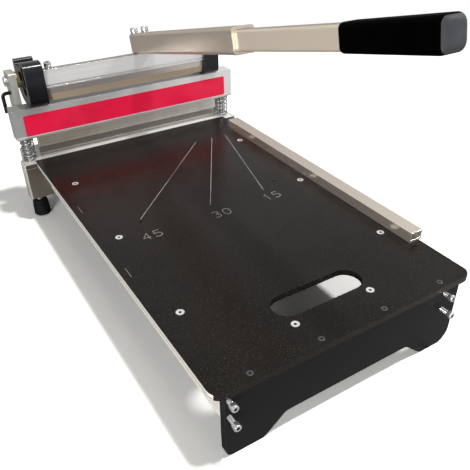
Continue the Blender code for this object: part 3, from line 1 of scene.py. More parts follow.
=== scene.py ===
"""Looks of the laminate cutter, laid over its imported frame.

Metres, in the frame's axes: +Z up, +X to the fence side and +Y from the front leg to the blade. Each class is one
sub-assembly: it holds its sizes as fields, builds its pieces and dresses them.
"""
import json
import logging
import math
from dataclasses import dataclass
from enum import Enum
from typing import Callable, Iterable, Sequence

import bmesh
import bpy
from mathutils import Euler, Matrix, Vector


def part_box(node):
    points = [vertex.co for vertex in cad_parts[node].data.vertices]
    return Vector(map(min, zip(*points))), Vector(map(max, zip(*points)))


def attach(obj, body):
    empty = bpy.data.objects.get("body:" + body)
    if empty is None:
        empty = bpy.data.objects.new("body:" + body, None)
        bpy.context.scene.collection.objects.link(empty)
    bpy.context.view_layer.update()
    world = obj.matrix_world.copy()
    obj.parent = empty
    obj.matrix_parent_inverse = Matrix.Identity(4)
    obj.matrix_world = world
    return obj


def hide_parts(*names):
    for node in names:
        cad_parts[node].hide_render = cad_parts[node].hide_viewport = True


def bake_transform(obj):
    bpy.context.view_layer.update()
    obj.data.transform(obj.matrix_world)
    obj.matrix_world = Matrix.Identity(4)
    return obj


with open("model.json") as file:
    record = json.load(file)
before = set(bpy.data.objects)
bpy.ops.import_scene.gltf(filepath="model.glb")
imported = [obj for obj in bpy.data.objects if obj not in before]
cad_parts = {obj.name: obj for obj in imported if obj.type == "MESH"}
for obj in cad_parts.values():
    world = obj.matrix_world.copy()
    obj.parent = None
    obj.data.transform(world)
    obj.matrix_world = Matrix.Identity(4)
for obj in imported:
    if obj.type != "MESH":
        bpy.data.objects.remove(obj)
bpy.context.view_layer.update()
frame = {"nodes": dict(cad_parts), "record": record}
LOG = logging.getLogger("cutter")
SIDES = (("left", -1), ("right", 1))
LEVER_SLOPE = math.radians(13.0)
POLISHED = 0.000004  # metres, the bump of drawn or polished metal
BROAD_FACE = 0.002  # square metres: a larger face of a CAD copy is flat
MERGE_DISTANCE = 0.00001
FLAT_ANGLE = math.radians(0.6)  # faces of a CAD copy that meet at less are one face
FACES_IT = 0.3  # the least part of a face's normal along the direction that it faces
THREAD_PITCH = 0.0010
THREAD_ROOT = 0.88  # of the radius
KNURL_ROOT = 0.965  # of the radius

Colour = tuple[float, float, float]
Point = tuple[float, float, float]
Flat = tuple[float, float]
Band = tuple[float, str]

# The middle lines of the table's digits, in a box that is one wide and one high.
DIGITS: dict[str, tuple[tuple[Flat, ...], ...]] = {
    "0": ((*((0.5 + 0.5 * math.cos(math.pi * k / 10), 0.5 + 0.5 * math.sin(math.pi * k / 10)) for k in range(20)),
           (1.0, 0.5)),),
    "1": (((0.25, 0.78), (0.6, 1.0), (0.6, 0.0)),),
    "3": (((0.05, 0.9), (0.45, 1.0), (0.85, 0.86), (0.85, 0.66), (0.4, 0.54), (0.95, 0.4), (0.95, 0.14), (0.45, 0.0),
           (0.0, 0.12)),),
    "4": (((0.75, 0.0), (0.75, 1.0), (0.0, 0.32), (1.0, 0.32)),),
    "5": (((0.92, 1.0), (0.15, 1.0), (0.08, 0.55), (0.55, 0.64), (0.95, 0.46), (0.95, 0.16), (0.5, 0.0),
           (0.0, 0.1)),),
}


class Section(Enum):
    """The cross-section of a turned row."""

    ROUND = "round"
    HEX = "hex"
    KNURL = "knurl"
    THREAD = "thread"


class Axis(Enum):
    """A direction in the frame."""

    X = 0
    Y = 1
    Z = 2


class Body(str, Enum):
    """The moving bodies of the frame."""

    BASE = "base"
    CARRIER = "carrier"
    CAM = "cam_lever"
    EXTENSION = "extension"


# ---------------------------------------------------------------- node trees


class Value:
    """A number socket that takes part in Python arithmetic, in a shader tree or a geometry tree."""

    def __init__(self, graph: "Graph", socket: bpy.types.NodeSocket) -> None:
        """Keep the tree and the socket."""
        self.graph = graph
        self.socket = socket

    def __add__(self, other: "Value | float") -> "Value":
        """Add."""
        return self.graph.math("ADD", self, other)

    def __radd__(self, other: float) -> "Value":
        """Add, with a number first."""
        return self.graph.math("ADD", other, self)

    def __sub__(self, other: "Value | float") -> "Value":
        """Subtract."""
        return self.graph.math("SUBTRACT", self, other)

    def __rsub__(self, other: float) -> "Value":
        """Subtract from a number."""
        return self.graph.math("SUBTRACT", other, self)

    def __mul__(self, other: "Value | float") -> "Value":
        """Multiply."""
        return self.graph.math("MULTIPLY", self, other)

    def __rmul__(self, other: float) -> "Value":
        """Multiply, with a number first."""
        return self.graph.math("MULTIPLY", other, self)

    def __truediv__(self, other: "Value | float") -> "Value":
        """Divide."""
        return self.graph.math("DIVIDE", self, other)

    def __rtruediv__(self, other: float) -> "Value":
        """Divide a number."""
        return self.graph.math("DIVIDE", other, self)

    def within(self, low: float, high: float) -> "Value":
        """Hold between two numbers."""
        return self.graph.math("MINIMUM", self.graph.math("MAXIMUM", self, low), high)


class Graph:
    """A node tree that is written as calls and expressions."""

    def __init__(self, tree: bpy.types.NodeTree) -> None:
        """Keep the tree."""
        self.tree = tree

    def node(self, kind: str, settings: dict | None = None, sockets: dict | None = None) -> bpy.types.Node:
        """Make one node.

        Args:
            kind: The node's type.
            settings: Its own settings, set first. "stops" are the (place, colour) stops of a ramp.
            sockets: Values or links of its inputs, by name or number.

        Returns:
            The node.
        """
        node = self.tree.nodes.new(kind)
        for key, value in (settings or {}).items():
            if key == "stops":
                stops = node.color_ramp.elements
                while len(stops) < len(value):
                    stops.new(1.0)
                for stop, (place, colour) in zip(stops, value):
                    stop.position = place
                    stop.color = (*colour, 1.0)
            else:
                setattr(node, key, value)
        for key, value in (sockets or {}).items():
            source = value.socket if isinstance(value, Value) else value
            if isinstance(source, bpy.types.NodeSocket):
                self.tree.links.new(source, node.inputs[key])
            else:
                node.inputs[key].default_value = source
        return node

    def ray(self, kind: str) -> Value:
        """Tell whether a ray is of a kind, such as Glossy."""
        return Value(self, self.node("ShaderNodeLightPath").outputs[f"Is {kind} Ray"])

    def background_ray(self) -> Value:
        """Tell whether a ray looks for the background, straight from the camera or through glass."""
        return (self.ray("Camera") + self.ray("Transmission")).within(0.0, 1.0)

    def math(self, operation: str, *numbers: "Value | float") -> Value:
        """Make a Math node of the numbers."""
        node = self.node("ShaderNodeMath", {"operation": operation}, dict(enumerate(numbers)))
        return Value(self, node.outputs[0])

    def mix(self, factor: "Value | float", low: object, high: object) -> bpy.types.NodeSocket:
        """Mix two colours, each a colour or a colour socket.

        Args:
            factor: How much of the second colour shows.
            low: The first colour.
            high: The second colour.

        Returns:
            The mixed colour's socket.
        """
        ends = [(*end, 1.0) if isinstance(end, tuple) else end for end in (low, high)]
        node = self.node("ShaderNodeMix", {"data_type": "RGBA"}, {0: factor, 6: ends[0], 7: ends[1]})
        return node.outputs[2]

    def noise(self, place: object, scale: float, detail: float = 3.0, roughness: float = 0.5) -> Value:
        """Read a noise at a place.

        Args:
            place: The vector socket that places it.
            scale: Its scale, per metre.
            detail: Its octaves.
            roughness: How strong the fine octaves are.

        Returns:
            The noise, about 0 to 1.
        """
        sockets = {"Vector": place, "Scale": scale, "Detail": detail, "Roughness": roughness}
        return Value(self, self.node("ShaderNodeTexNoise", None, sockets).outputs["Fac"])

    def ramp(self, value: Value, low: float, high: float) -> Value:
        """Turn the range from low to high into 0 to 1, held at both ends."""
        return ((value - low) / (high - low)).within(0.0, 1.0)


def emptied(owner: bpy.types.Material | bpy.types.World) -> Graph:
    """Give a material's or a world's own tree, with nothing in it."""
    owner.use_nodes = True
    owner.node_tree.nodes.clear()
    return Graph(owner.node_tree)


# ---------------------------------------------------------------- finishes


@dataclass(frozen=True)
class Finish:
    """One finish: a Principled surface whose colour, roughness and bump vary over the piece.

    The base class is a plain moulding or coat with a fine grain.
    """

    name: str
    colour: Colour
    second: Colour
    roughness: float
    metallic: float = 0.0
    specular: float = 0.5
    grain: float = 900.0
    depth: float = 0.00004
    patch: float = 14.0
    coat: float = 0.0
    coat_roughness: float = 0.12
    spread: Flat = (0.35, 0.7)
    fine_wear: float = 0.12
    broad_wear: float = 0.16

    def material(self) -> bpy.types.Material:
        """Build the material.

        Returns:
            The material.
        """
        mat = bpy.data.materials.new(self.name)
        graph = emptied(mat)
        place = graph.node("ShaderNodeTexCoord").outputs["Object"]
        colour, roughness, height, depth = self.surface(graph, place)
        bump = graph.node("ShaderNodeBump", None, {"Strength": 1.0, "Distance": depth, "Height": height})
        shader = graph.node("ShaderNodeBsdfPrincipled", None, {
            "Base Color": colour, "Roughness": roughness, "Metallic": self.metallic,
            "Specular IOR Level": self.specular, "Normal": bump.outputs["Normal"], "Coat Weight": self.coat,
            "Coat Roughness": self.coat_roughness})
        graph.node("ShaderNodeOutputMaterial", None, {"Surface": shader.outputs["BSDF"]})
        mat.diffuse_color = (*self.colour, 1.0)
        return mat

    def surface(self, graph: Graph, place: bpy.types.NodeSocket) -> tuple[object, Value, Value, float]:
        """Give what varies over the surface.

        Args:
            graph: The material's tree.
            place: The Object coordinates.

        Returns:
            The colour, the roughness, the bump's height and the bump's depth in metres.
        """
        fine = graph.noise(place, self.grain)
        broad = graph.noise(place, self.patch, 4.0)
        colour = graph.mix(graph.ramp(broad, *self.spread), self.colour, self.second)
        roughness = (self.roughness + self.fine_wear * (fine - 0.5)
                     + self.broad_wear * (broad - 0.5)).within(0.04, 1.0)
        return colour, roughness, fine, self.depth


@dataclass(frozen=True)
class TexturedCoat(Finish):
    """A powder coat with a coarse orange-peel grain, whose peaks are painted lighter: painted glints."""

    spread: Flat = (0.3, 0.7)
    fine_wear: float = 0.2
    broad_wear: float = 0.1
    # The colour of the painted glints on the grain's peaks.
    tip: Colour = (0.30, 0.285, 0.26)
    glint_share: float = 0.585
    glint_fade: float = 0.16
    glint_floor: float = 0.35

    def surface(self, graph: Graph, place: bpy.types.NodeSocket) -> tuple[object, Value, Value, float]:
        """Give what varies over the coat, as in Finish.surface."""
        cells = graph.noise(place, self.grain, 4.0, 0.7)
        broad = graph.noise(place, self.patch, 4.0)
        painted_glints = graph.ramp(cells, self.glint_share, self.glint_share + self.glint_fade)
        ground = graph.mix(graph.ramp(broad, *self.spread), self.colour, self.second)
        # The grain's peaks are painted lighter in the tip colour: painted glints.
        colour = graph.mix(painted_glints * (self.glint_floor + (1 - self.glint_floor) * broad), ground, self.tip)
        roughness = (self.roughness + self.fine_wear * (0.5 - cells)
                     + self.broad_wear * (broad - 0.5)).within(0.05, 1.0)
        return colour, roughness, cells, self.depth


@dataclass(frozen=True)
class DrawnMetal(Finish):
    """Extruded, drawn or ground metal: fine lines along one axis, with a slow change of tone along it, which on the
    carrier and the cam tube is painted light and shade.
    """

    depth: float = POLISHED
    fine_wear: float = 0.10
    broad_wear: float = 0.06
    along: Axis = Axis.X
    stretch: float = 0.012
    line_scale: float = 700.0
    line_tone: float = 0.07
    lines_to_a_band: float = 12.0
    band_tone: float = 0.12
    broad_tone: float = 0.35
    start: float = -0.2
    end: float = 0.2

    def surface(self, graph: Graph, place: bpy.types.NodeSocket) -> tuple[object, Value, Value, float]:
        """Give what varies over the metal, as in Finish.surface."""
        scale = [1.0, 1.0, 1.0]
        scale[self.along.value] = self.stretch
        drawn = graph.node("ShaderNodeMapping", None, {"Vector": place, "Scale": scale}).outputs["Vector"]
        lines = graph.noise(drawn, self.line_scale, 3.0, 0.7)
        bands = graph.noise(drawn, self.line_scale / self.lines_to_a_band, 2.0)
        broad = graph.noise(place, self.patch, 3.0)
        reach = graph.node("ShaderNodeSeparateXYZ", None, {"Vector": place}).outputs[self.along.value]
        # A slow change of tone along the axis: on the carrier and the cam tube this is painted light and shade.
        tone_and_light_drift = graph.ramp(Value(graph, reach), self.start, self.end)
        tone = (tone_and_light_drift + self.broad_tone * (broad - 0.5) + self.line_tone * (lines - 0.5)
                + self.band_tone * (bands - 0.5)).within(0.0, 1.0)
        colour = graph.mix(tone, self.colour, self.second)
        roughness = (self.roughness + self.fine_wear * (lines - 0.5)
                     + self.broad_wear * (broad - 0.5)).within(0.05, 1.0)
        return colour, roughness, lines, self.depth


@dataclass(frozen=True)
class Looks:
    """All finishes of the cutter."""

    def build(self) -> dict[str, bpy.types.Material]:
        """Build every finish.

        Returns:
            The materials by name.
        """
        finishes = (
            TexturedCoat("panel_black", (0.0078, 0.0058, 0.0044), (0.0115, 0.0088, 0.007), 0.27, specular=0.19,
                         grain=600.0, depth=0.00008, patch=9.0),
            TexturedCoat("leg_black", (0.005, 0.005, 0.006), (0.008, 0.008, 0.0092), 0.38, specular=0.12,
                         grain=950.0, depth=0.0001, patch=10.0, tip=(0.022, 0.022, 0.024)),
            Finish("panel_edge", (0.05, 0.048, 0.045), (0.09, 0.085, 0.08), 0.5, specular=0.35, grain=700.0),
            Finish("mark_silver", (0.36, 0.34, 0.31), (0.6, 0.58, 0.54), 0.45, grain=1200.0, patch=60.0),
            # Darker at the left end and lighter at the right: painted shade and painted light.
            DrawnMetal("carrier_silver_painted_light", (0.44, 0.44, 0.435), (0.84, 0.845, 0.84), 0.33, 0.35),
            DrawnMetal("silver", (0.78, 0.775, 0.76), (0.84, 0.845, 0.85), 0.2, 1.0),
            # The edges' lighter finish: partly wear, partly painted highlight.
            DrawnMetal("silver_edge_wear_and_highlight", (0.86, 0.86, 0.85), (0.94, 0.94, 0.93), 0.2, 0.8),
            DrawnMetal("clamp_grey", (0.52, 0.51, 0.485), (0.8, 0.8, 0.78), 0.28, 0.3),
            # Bands for the clamp's and the carrier's fronts: a painted highlight line, painted shade lines and painted
            # brown shade at the clamp's foot.
            DrawnMetal("clamp_painted_highlight", (0.88, 0.88, 0.87), (0.95, 0.95, 0.94), 0.28, 0.15),
            DrawnMetal("clamp_painted_shade", (0.13, 0.13, 0.125), (0.26, 0.26, 0.255), 0.28, 0.3),
            DrawnMetal("clamp_painted_brown_shade", (0.34, 0.285, 0.22), (0.74, 0.71, 0.67), 0.28, 0.3),
            DrawnMetal("bed_silver", (0.8, 0.79, 0.76), (0.9, 0.895, 0.88), 0.28, 0.25),
            # The base beam's front faces: a darker copy of its finish, darker towards the top, as painted shade.
            DrawnMetal("beam_front_painted_shade", (0.165, 0.15, 0.118), (0.075, 0.056, 0.042), 0.36, 0.25, along=Axis.Z,
                       start=-0.062, end=0.0, line_tone=0.0),
            DrawnMetal("end_plate", (0.6, 0.59, 0.53), (0.66, 0.655, 0.61), 0.3, 0.3, along=Axis.Z, start=-0.06,
                       end=0.0),
            DrawnMetal("rail_cream", (0.97, 0.92, 0.82), (0.99, 0.96, 0.91), 0.3, 0.0, along=Axis.Y, start=-0.3,
                       end=0.3),
            DrawnMetal("fence_silver", (0.88, 0.79, 0.68), (0.66, 0.56, 0.48), 0.24, 0.8, along=Axis.Y,
                       start=-0.2, end=0.25),
            DrawnMetal("post_silver", (0.42, 0.42, 0.38), (0.58, 0.57, 0.52), 0.3, 0.4, along=Axis.Z, start=0.0,
                       end=0.15),
            DrawnMetal("blade_ground", (0.3, 0.27, 0.235), (0.6, 0.57, 0.53), 0.24, 0.7, line_scale=1100.0,
                       line_tone=0.3),
            DrawnMetal("champagne", (0.54, 0.45, 0.365), (0.59, 0.5, 0.415), 0.3, 0.4, along=Axis.Y,
                       line_scale=900.0, line_tone=0.1, start=-0.3, end=0.3),
            DrawnMetal("champagne_pale", (0.84, 0.73, 0.6), (0.88, 0.77, 0.64), 0.3, 0.3, along=Axis.Y,
                       line_scale=900.0, line_tone=0.1, start=-0.3, end=0.3),
            # The collar's own finish; on the lever's edges partly wear, partly painted highlight.
            DrawnMetal("champagne_edge", (0.7, 0.62, 0.52), (0.76, 0.68, 0.58), 0.25, 0.6, along=Axis.Y,
                       start=-0.3, end=0.3),
            Finish("bright_steel", (0.72, 0.72, 0.715), (0.86, 0.86, 0.855), 0.18, 0.9, grain=1500.0,
                   depth=POLISHED, patch=160.0),
            Finish("spring_steel", (0.2, 0.2, 0.2), (0.42, 0.42, 0.415), 0.2, 0.9, grain=1500.0, depth=POLISHED,
                   patch=160.0),
            Finish("screw_white", (0.72, 0.72, 0.71), (0.84, 0.84, 0.83), 0.3, 0.3, grain=1500.0, depth=POLISHED,
                   patch=160.0),
            # The cam tube's faces, copies of one finish in other tones: painted shade on the lower front band, painted
            # reflection on the middle band, the upper front face and the top, whose strong bands are painted streaks
            # of reflection.
            DrawnMetal("tube_lower_painted_shade", (0.62, 0.48, 0.35), (0.54, 0.42, 0.31), 0.3, 0.2),
            DrawnMetal("tube_top_painted_reflection", (0.2, 0.175, 0.155), (0.76, 0.735, 0.72), 0.3, 0.3, 0.15, line_scale=2200.0,
                       band_tone=1.7, line_tone=0.3, start=-0.5, end=0.5),
            DrawnMetal("tube_face_painted_reflection", (0.62, 0.61, 0.6), (0.92, 0.92, 0.92), 0.22, 0.5, line_scale=1800.0,
                       band_tone=1.0, line_tone=0.3, start=-0.5, end=0.5),
            DrawnMetal("tube_middle_painted_reflection", (0.74, 0.67, 0.62), (0.8, 0.75, 0.71), 0.25, 0.7),
            # The lever tubes' upper faces: a darker copy of the champagne, as painted shade.
            DrawnMetal("champagne_top_painted_shade", (0.34, 0.28, 0.205), (0.4, 0.33, 0.25), 0.4, 0.1, 0.12, along=Axis.Y,
                       line_scale=900.0, line_tone=0.1, start=-0.3, end=0.3),
            Finish("socket_dark", (0.012, 0.012, 0.012), (0.03, 0.03, 0.03), 0.6, grain=1500.0),
            Finish("black_oxide", (0.006, 0.006, 0.006), (0.012, 0.012, 0.013), 0.4, specular=0.15, grain=1200.0,
                   depth=POLISHED),
            Finish("cheek_black", (0.004, 0.0045, 0.007), (0.008, 0.0085, 0.012), 0.22, specular=0.4,
                   grain=1100.0, depth=POLISHED, patch=30.0, coat=0.15),
            Finish("cheek_edge", (0.018, 0.019, 0.024), (0.03, 0.032, 0.04), 0.28, specular=0.3, grain=1100.0),
            Finish("rubber_black", (0.006, 0.006, 0.006), (0.011, 0.011, 0.0105), 0.66, specular=0.1,
                   grain=1000.0, depth=0.00005, patch=40.0),
            Finish("brass", (0.4, 0.31, 0.17), (0.55, 0.44, 0.26), 0.34, 0.8, grain=1300.0, depth=POLISHED,
                   patch=90.0),
            Finish("label_red", (0.8, 0.012, 0.058), (0.86, 0.022, 0.078), 0.25, specular=0.25, grain=500.0,
                   depth=0.000006, patch=18.0, coat=0.12),
            Finish("grip_black", (0.0004, 0.0004, 0.0003), (0.001, 0.001, 0.0009), 0.6, specular=0.012,
                   grain=1600.0, depth=0.00006, patch=26.0),
            # The grip's end face: a greyer copy of the grip's black, as painted sheen.
            Finish("grip_end_painted_sheen", (0.055, 0.057, 0.062), (0.08, 0.083, 0.09), 0.62, specular=0.12, grain=1300.0,
                   depth=0.00006, patch=60.0),
        )
        return {finish.name: finish.material() for finish in finishes}


# ---------------------------------------------------------------- mesh code


def solid(name: str, bm: bmesh.types.BMesh, smooth: float = 35.0) -> bpy.types.Object:
    """Turn a bmesh into an object whose faces point out.

    Args:
        name: The piece's name.
        bm: The bmesh, which is freed.
        smooth: The angle in degrees past which an edge stays sharp.

    Returns:
        The object.
    """
    bmesh.ops.recalc_face_normals(bm, faces=bm.faces)
    mesh = bpy.data.meshes.new(name)
    bm.to_mesh(mesh)
    bm.free()
    mesh.shade_smooth()
    mesh.set_sharp_from_angle(angle=math.radians(smooth))
    obj = bpy.data.objects.new(name, mesh)
    bpy.context.scene.collection.objects.link(obj)
    return obj


def skin(bm: bmesh.types.BMesh, rings: Sequence[Sequence[Vector]]) -> list[list[bmesh.types.BMFace]]:
    """Join rings of points into a closed solid, with a cap at each end.

    Args:
        bm: The bmesh.
        rings: The points of each ring.

    Returns:
        The faces that lead up to each ring: the first cap alone for the first, the band and the last cap for the last.
    """
    loops = [[bm.verts.new(point) for point in points] for points in rings]
    bands = [[bm.faces.new(loops[0])]]
    for near, far in zip(loops, loops[1:]):
        bands.append([])
        for i, point in enumerate(near):
            j = (i + 1) % len(near)
            bands[-1].append(bm.faces.new((point, near[j], far[j], far[i])))
    bands[-1].append(bm.faces.new(loops[-1]))
    return bands


def rounded_box(width: float, height: float, radius: float, steps: int = 8) -> list[Flat]:
    """Draw a rectangle about the origin with round corners."""
    points = []
    for quarter, (sx, sy) in enumerate(((1, 1), (-1, 1), (-1, -1), (1, -1))):
        for k in range(steps + 1):
            angle = math.pi / 2 * (quarter + k / steps)
            points.append((sx * (width / 2 - radius) + radius * math.cos(angle),
                           sy * (height / 2 - radius) + radius * math.sin(angle)))
    return points


@dataclass(frozen=True)
class Row:
    """One ring of a turned piece: its radius, its level along the axis and its cross-section.

    The faces that lead up to a dark ring lie in a recess.
    """

    radius: float
    level: float
    section: Section = Section.ROUND
    dark: bool = False

    def reach(self, angle: float, index: int) -> float:
        """Give the radius at an angle.

        Args:
            angle: The angle, in radians.
            index: The point's number in the ring.

        Returns:
            The radius there.
        """
        if self.section is Section.HEX:
            return self.radius * math.cos(math.pi / 6) / math.cos(angle % (math.pi / 3) - math.pi / 6)
        if self.section is Section.KNURL:
            return self.radius * (1.0 if index % 2 else KNURL_ROOT)
        if self.section is Section.THREAD:
            wave = (self.level / THREAD_PITCH - angle / math.tau) % 1.0
            return self.radius * (THREAD_ROOT + (1 - THREAD_ROOT) * abs(2 * wave - 1))
        return self.radius


def turned(bm: bmesh.types.BMesh, rows: Iterable[Row], place: Matrix, sides: int = 48) -> None:
    """Add a turned piece along +Z of a place.

    Args:
        bm: The bmesh.
        rows: The rings from one end to the other.
        place: Where the piece's own frame lies.
        sides: The points in each ring, a multiple of 12.
    """
    rings = []
    for row in rows:
        ring = []
        for i in range(sides):
            angle = math.tau * i / sides
            reach = row.reach(angle, i)
            ring.append(place @ Vector((reach * math.cos(angle), reach * math.sin(angle), row.level)))
        rings.append(ring)
    recess = bm.faces.layers.int.get("recess") or bm.faces.layers.int.new("recess")
    for row, band in zip(rows, skin(bm, rings)):
        for face in band:
            face[recess] = face.material_index = int(row.dark)


def socket(radius: float, depth: float, level: float = 0.0) -> list[Row]:
    """Sink a hexagon socket with a dark inside into a head's face."""
    return [Row(radius, level - 0.0001, Section.HEX), Row(radius * 0.96, level - 0.0006, Section.HEX, True),
            Row(radius * 0.95, level - depth, Section.HEX, True), Row(0.0001, level - depth - 0.0003, dark=True)]


def thread(radius: float, start: float, end: float) -> list[Row]:
    """Cut a thread between two levels, four rings to a turn."""
    count = max(4, int(abs(end - start) / THREAD_PITCH * 4))
    return [Row(radius, start + (end - start) * i / count, Section.THREAD) for i in range(count + 1)]


def towards(place: Point, direction: Point) -> Matrix:
    """Give the frame at a place whose +Z points along a direction."""
    turn = Vector((0, 0, 1)).rotation_difference(Vector(direction)).to_matrix().to_4x4()
    return Matrix.Translation(place) @ turn


def ribbon(bm: bmesh.types.BMesh, points: Sequence[Flat], width: float, low: float, high: float) -> None:
    """Add a flat stroke along (x, y) points, with mitred corners.

    Args:
        bm: The bmesh.
        points: The stroke's middle line.
        width: Its width.
        low: The level of its underside.
        high: The level of its top.
    """
    line = [Vector(point) for point in points]
    left, right = [], []
    for i, here in enumerate(line):
        before = (here - line[i - 1]).normalized() if i else None
        after = (line[i + 1] - here).normalized() if i + 1 < len(line) else None
        along = ((before or after) + (after or before)).normalized()
        bend = max(along.dot(after or before), 0.5)
        across = Vector((-along.y, along.x)) * (width / 2 / bend)
        left.append(here + across)
        right.append(here - across)
    outline = left + right[::-1]
    rings = [[bm.verts.new((*point, level)) for point in outline] for level in (low, high)]
    count = len(outline)
    for ring in rings:
        for i in range(len(line) - 1):
            bm.faces.new((ring[i], ring[i + 1], ring[count - 2 - i], ring[count - 1 - i]))
    for i in range(count):
        j = (i + 1) % count
        bm.faces.new((rings[0][i], rings[0][j], rings[1][j], rings[1][i]))


def middle(node: str) -> Vector:
    """Give the centre of a CAD node's box."""
    low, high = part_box(node)
    return (low + high) / 2


def upright(node: str) -> Matrix:
    """Give the upright frame at the foot of a CAD node's box."""
    centre = middle(node)
    return Matrix.Translation((centre.x, centre.y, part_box(node)[0].z))


def merged(node: str, levels: Sequence[float] = ()) -> bmesh.types.BMesh:
    """Copy a CAD node's mesh, merged into clean flat faces.

    Args:
        node: The CAD node.
        levels: Heights at which its faces are split, for bands of different finishes.

    Returns:
        The copy.
    """
    bm = bmesh.new()
    bm.from_mesh(frame["nodes"][node].data)
    bmesh.ops.remove_doubles(bm, verts=bm.verts, dist=MERGE_DISTANCE)
    bmesh.ops.dissolve_limit(bm, angle_limit=FLAT_ANGLE, verts=bm.verts, edges=bm.edges)
    for level in levels:
        bmesh.ops.bisect_plane(bm, geom=[*bm.verts, *bm.edges, *bm.faces], plane_co=(0, 0, level), plane_no=(0, 0, 1))
    return bm


def bevelled(obj: bpy.types.Object, width: float, segments: int = 2, angle: float = 40.0) -> bpy.types.Object:
    """Round an object's edges with a live Bevel whose faces take the second material, and shade its broad faces flat.

    Args:
        obj: The object.
        width: The bevel's width.
        segments: The faces across it.
        angle: The least angle of an edge that is rounded, in degrees.

    Returns:
        The same object.
    """
    for face in obj.data.polygons:
        face.use_smooth = face.area < BROAD_FACE
    bevel = obj.modifiers.new("edges", "BEVEL")
    bevel.width = width
    bevel.segments = segments
    bevel.limit_method = "ANGLE"
    bevel.angle_limit = math.radians(angle)
    bevel.harden_normals = True
    bevel.material = 1
    return obj


def dress(obj: bpy.types.Object, *finishes: bpy.types.Material) -> bpy.types.Object:
    """Give an object its materials, in the order of its slots."""
    obj.data.materials.clear()
    for finish in finishes:
        obj.data.materials.append(finish)
    return obj


def settle(obj: bpy.types.Object, body: Body, slot: str, *nodes: str) -> bpy.types.Object:
    """Let a finished piece ride on its body and stand for CAD nodes.

    Args:
        obj: The piece.
        body: The body that it rides on.
        slot: The record's material slot; not used.
        nodes: The CAD nodes that it replaces.

    Returns:
        The same object.
    """
    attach(obj, body.value)
    if nodes:
        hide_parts(*nodes)
    LOG.info("%s rides on %s and stands for %s", obj.name, body.value, ", ".join(nodes) or "no node")
    return obj


# ---------------------------------------------------------------- geometry nodes


class GeometryTree(Graph):
    """A Geometry Nodes tree with named inputs that makes one piece."""

    def __init__(self, name: str, inputs: dict[str, str]) -> None:
        """Make the tree and its interface.

        Args:
            name: The tree's name.
            inputs: The type of each named input.
        """
        tree = bpy.data.node_groups.new(name, "GeometryNodeTree")
        tree.is_modifier = True
        self.keys = {}
        for label, kind in inputs.items():
            self.keys[label] = tree.interface.new_socket(label, in_out="INPUT", socket_type=kind).identifier
        tree.interface.new_socket("Geometry", in_out="OUTPUT", socket_type="NodeSocketGeometry")
        super().__init__(tree)
        self.given = self.node("NodeGroupInput").outputs

    def number(self, label: str) -> Value:
        """Give a named number as a value for arithmetic."""
        return Value(self, self.given[label])

    def close(self, shape: bpy.types.NodeSocket, recess: bpy.types.NodeSocket | None = None) -> None:
        """End the tree: real meshes with their material.

        Args:
            shape: The geometry.
            recess: Where the recess finish goes, if the piece has one.
        """
        real = self.node("GeometryNodeRealizeInstances", None, {"Geometry": shape}).outputs[0]
        dressed = self.node("GeometryNodeSetMaterial", None, {"Geometry": real, "Material": self.given["Finish"]})
        if recess:
            dressed = self.node("GeometryNodeSetMaterial", None, {
                "Geometry": dressed.outputs[0], "Selection": recess, "Material": self.given["Recess Finish"]})
        self.node("NodeGroupOutput", None, {0: dressed.outputs[0]})

    def make(self, name: str, values: dict[str, object]) -> bpy.types.Object:
        """Run the tree with values and keep the result as a plain mesh.

        Args:
            name: The piece's name.
            values: The value of each named input.

        Returns:
            The piece.
        """
        holder = bpy.data.objects.new(name + "_maker", bpy.data.meshes.new(name + "_maker"))
        modifier = holder.modifiers.new("maker", "NODES")
        modifier.node_group = self.tree
        for label, value in values.items():
            modifier[self.keys[label]] = value
        bpy.context.scene.collection.objects.link(holder)
        graph = bpy.context.evaluated_depsgraph_get()
        mesh = bpy.data.meshes.new_from_object(holder.evaluated_get(graph))
        holder.modifiers.remove(modifier)
        bpy.data.objects.remove(holder)
        bm = bmesh.new()
        bm.from_mesh(mesh)
        obj = solid(name, bm)
        for finish in mesh.materials:
            obj.data.materials.append(finish)
        return obj


def fastener_row() -> GeometryTree:
    """Build the tree that sets a row of one fastener, each turned by chance about its own axis.

    Returns:
        The tree.
    """
    tree = GeometryTree("fastener_row", {
        "Fastener": "NodeSocketObject", "Start": "NodeSocketVector", "Step": "NodeSocketVector",
        "Count": "NodeSocketInt", "Tilt": "NodeSocketVector", "Seed": "NodeSocketInt", "Finish": "NodeSocketMaterial",
        "Recess Finish": "NodeSocketMaterial"})
    line = tree.node("GeometryNodeMeshLine", {"mode": "OFFSET"}, {
        "Count": tree.given["Count"], "Start Location": tree.given["Start"], "Offset": tree.given["Step"]})
    chance = tree.node("FunctionNodeRandomValue", {"data_type": "FLOAT"}, {
        2: 0.0, 3: math.tau, "Seed": tree.given["Seed"]}).outputs[1]
    spin = tree.node("ShaderNodeCombineXYZ", None, {"Z": chance}).outputs[0]
    tilt = tree.node("FunctionNodeEulerToRotation", None, {0: tree.given["Tilt"]}).outputs[0]
    by = tree.node("FunctionNodeEulerToRotation", None, {0: spin}).outputs[0]
    turn = tree.node("FunctionNodeRotateRotation", {"rotation_space": "LOCAL"}, {0: tilt, 1: by}).outputs[0]
    shape = tree.node("GeometryNodeObjectInfo", None, {"Object": tree.given["Fastener"]}).outputs["Geometry"]
    row = tree.node("GeometryNodeInstanceOnPoints", None, {
        "Points": line.outputs[0], "Instance": shape, "Rotation": turn}).outputs[0]
    recess = tree.node("GeometryNodeInputNamedAttribute", {"data_type": "INT"}, {"Name": "recess"}).outputs[0]
    tree.close(row, recess)
    return tree


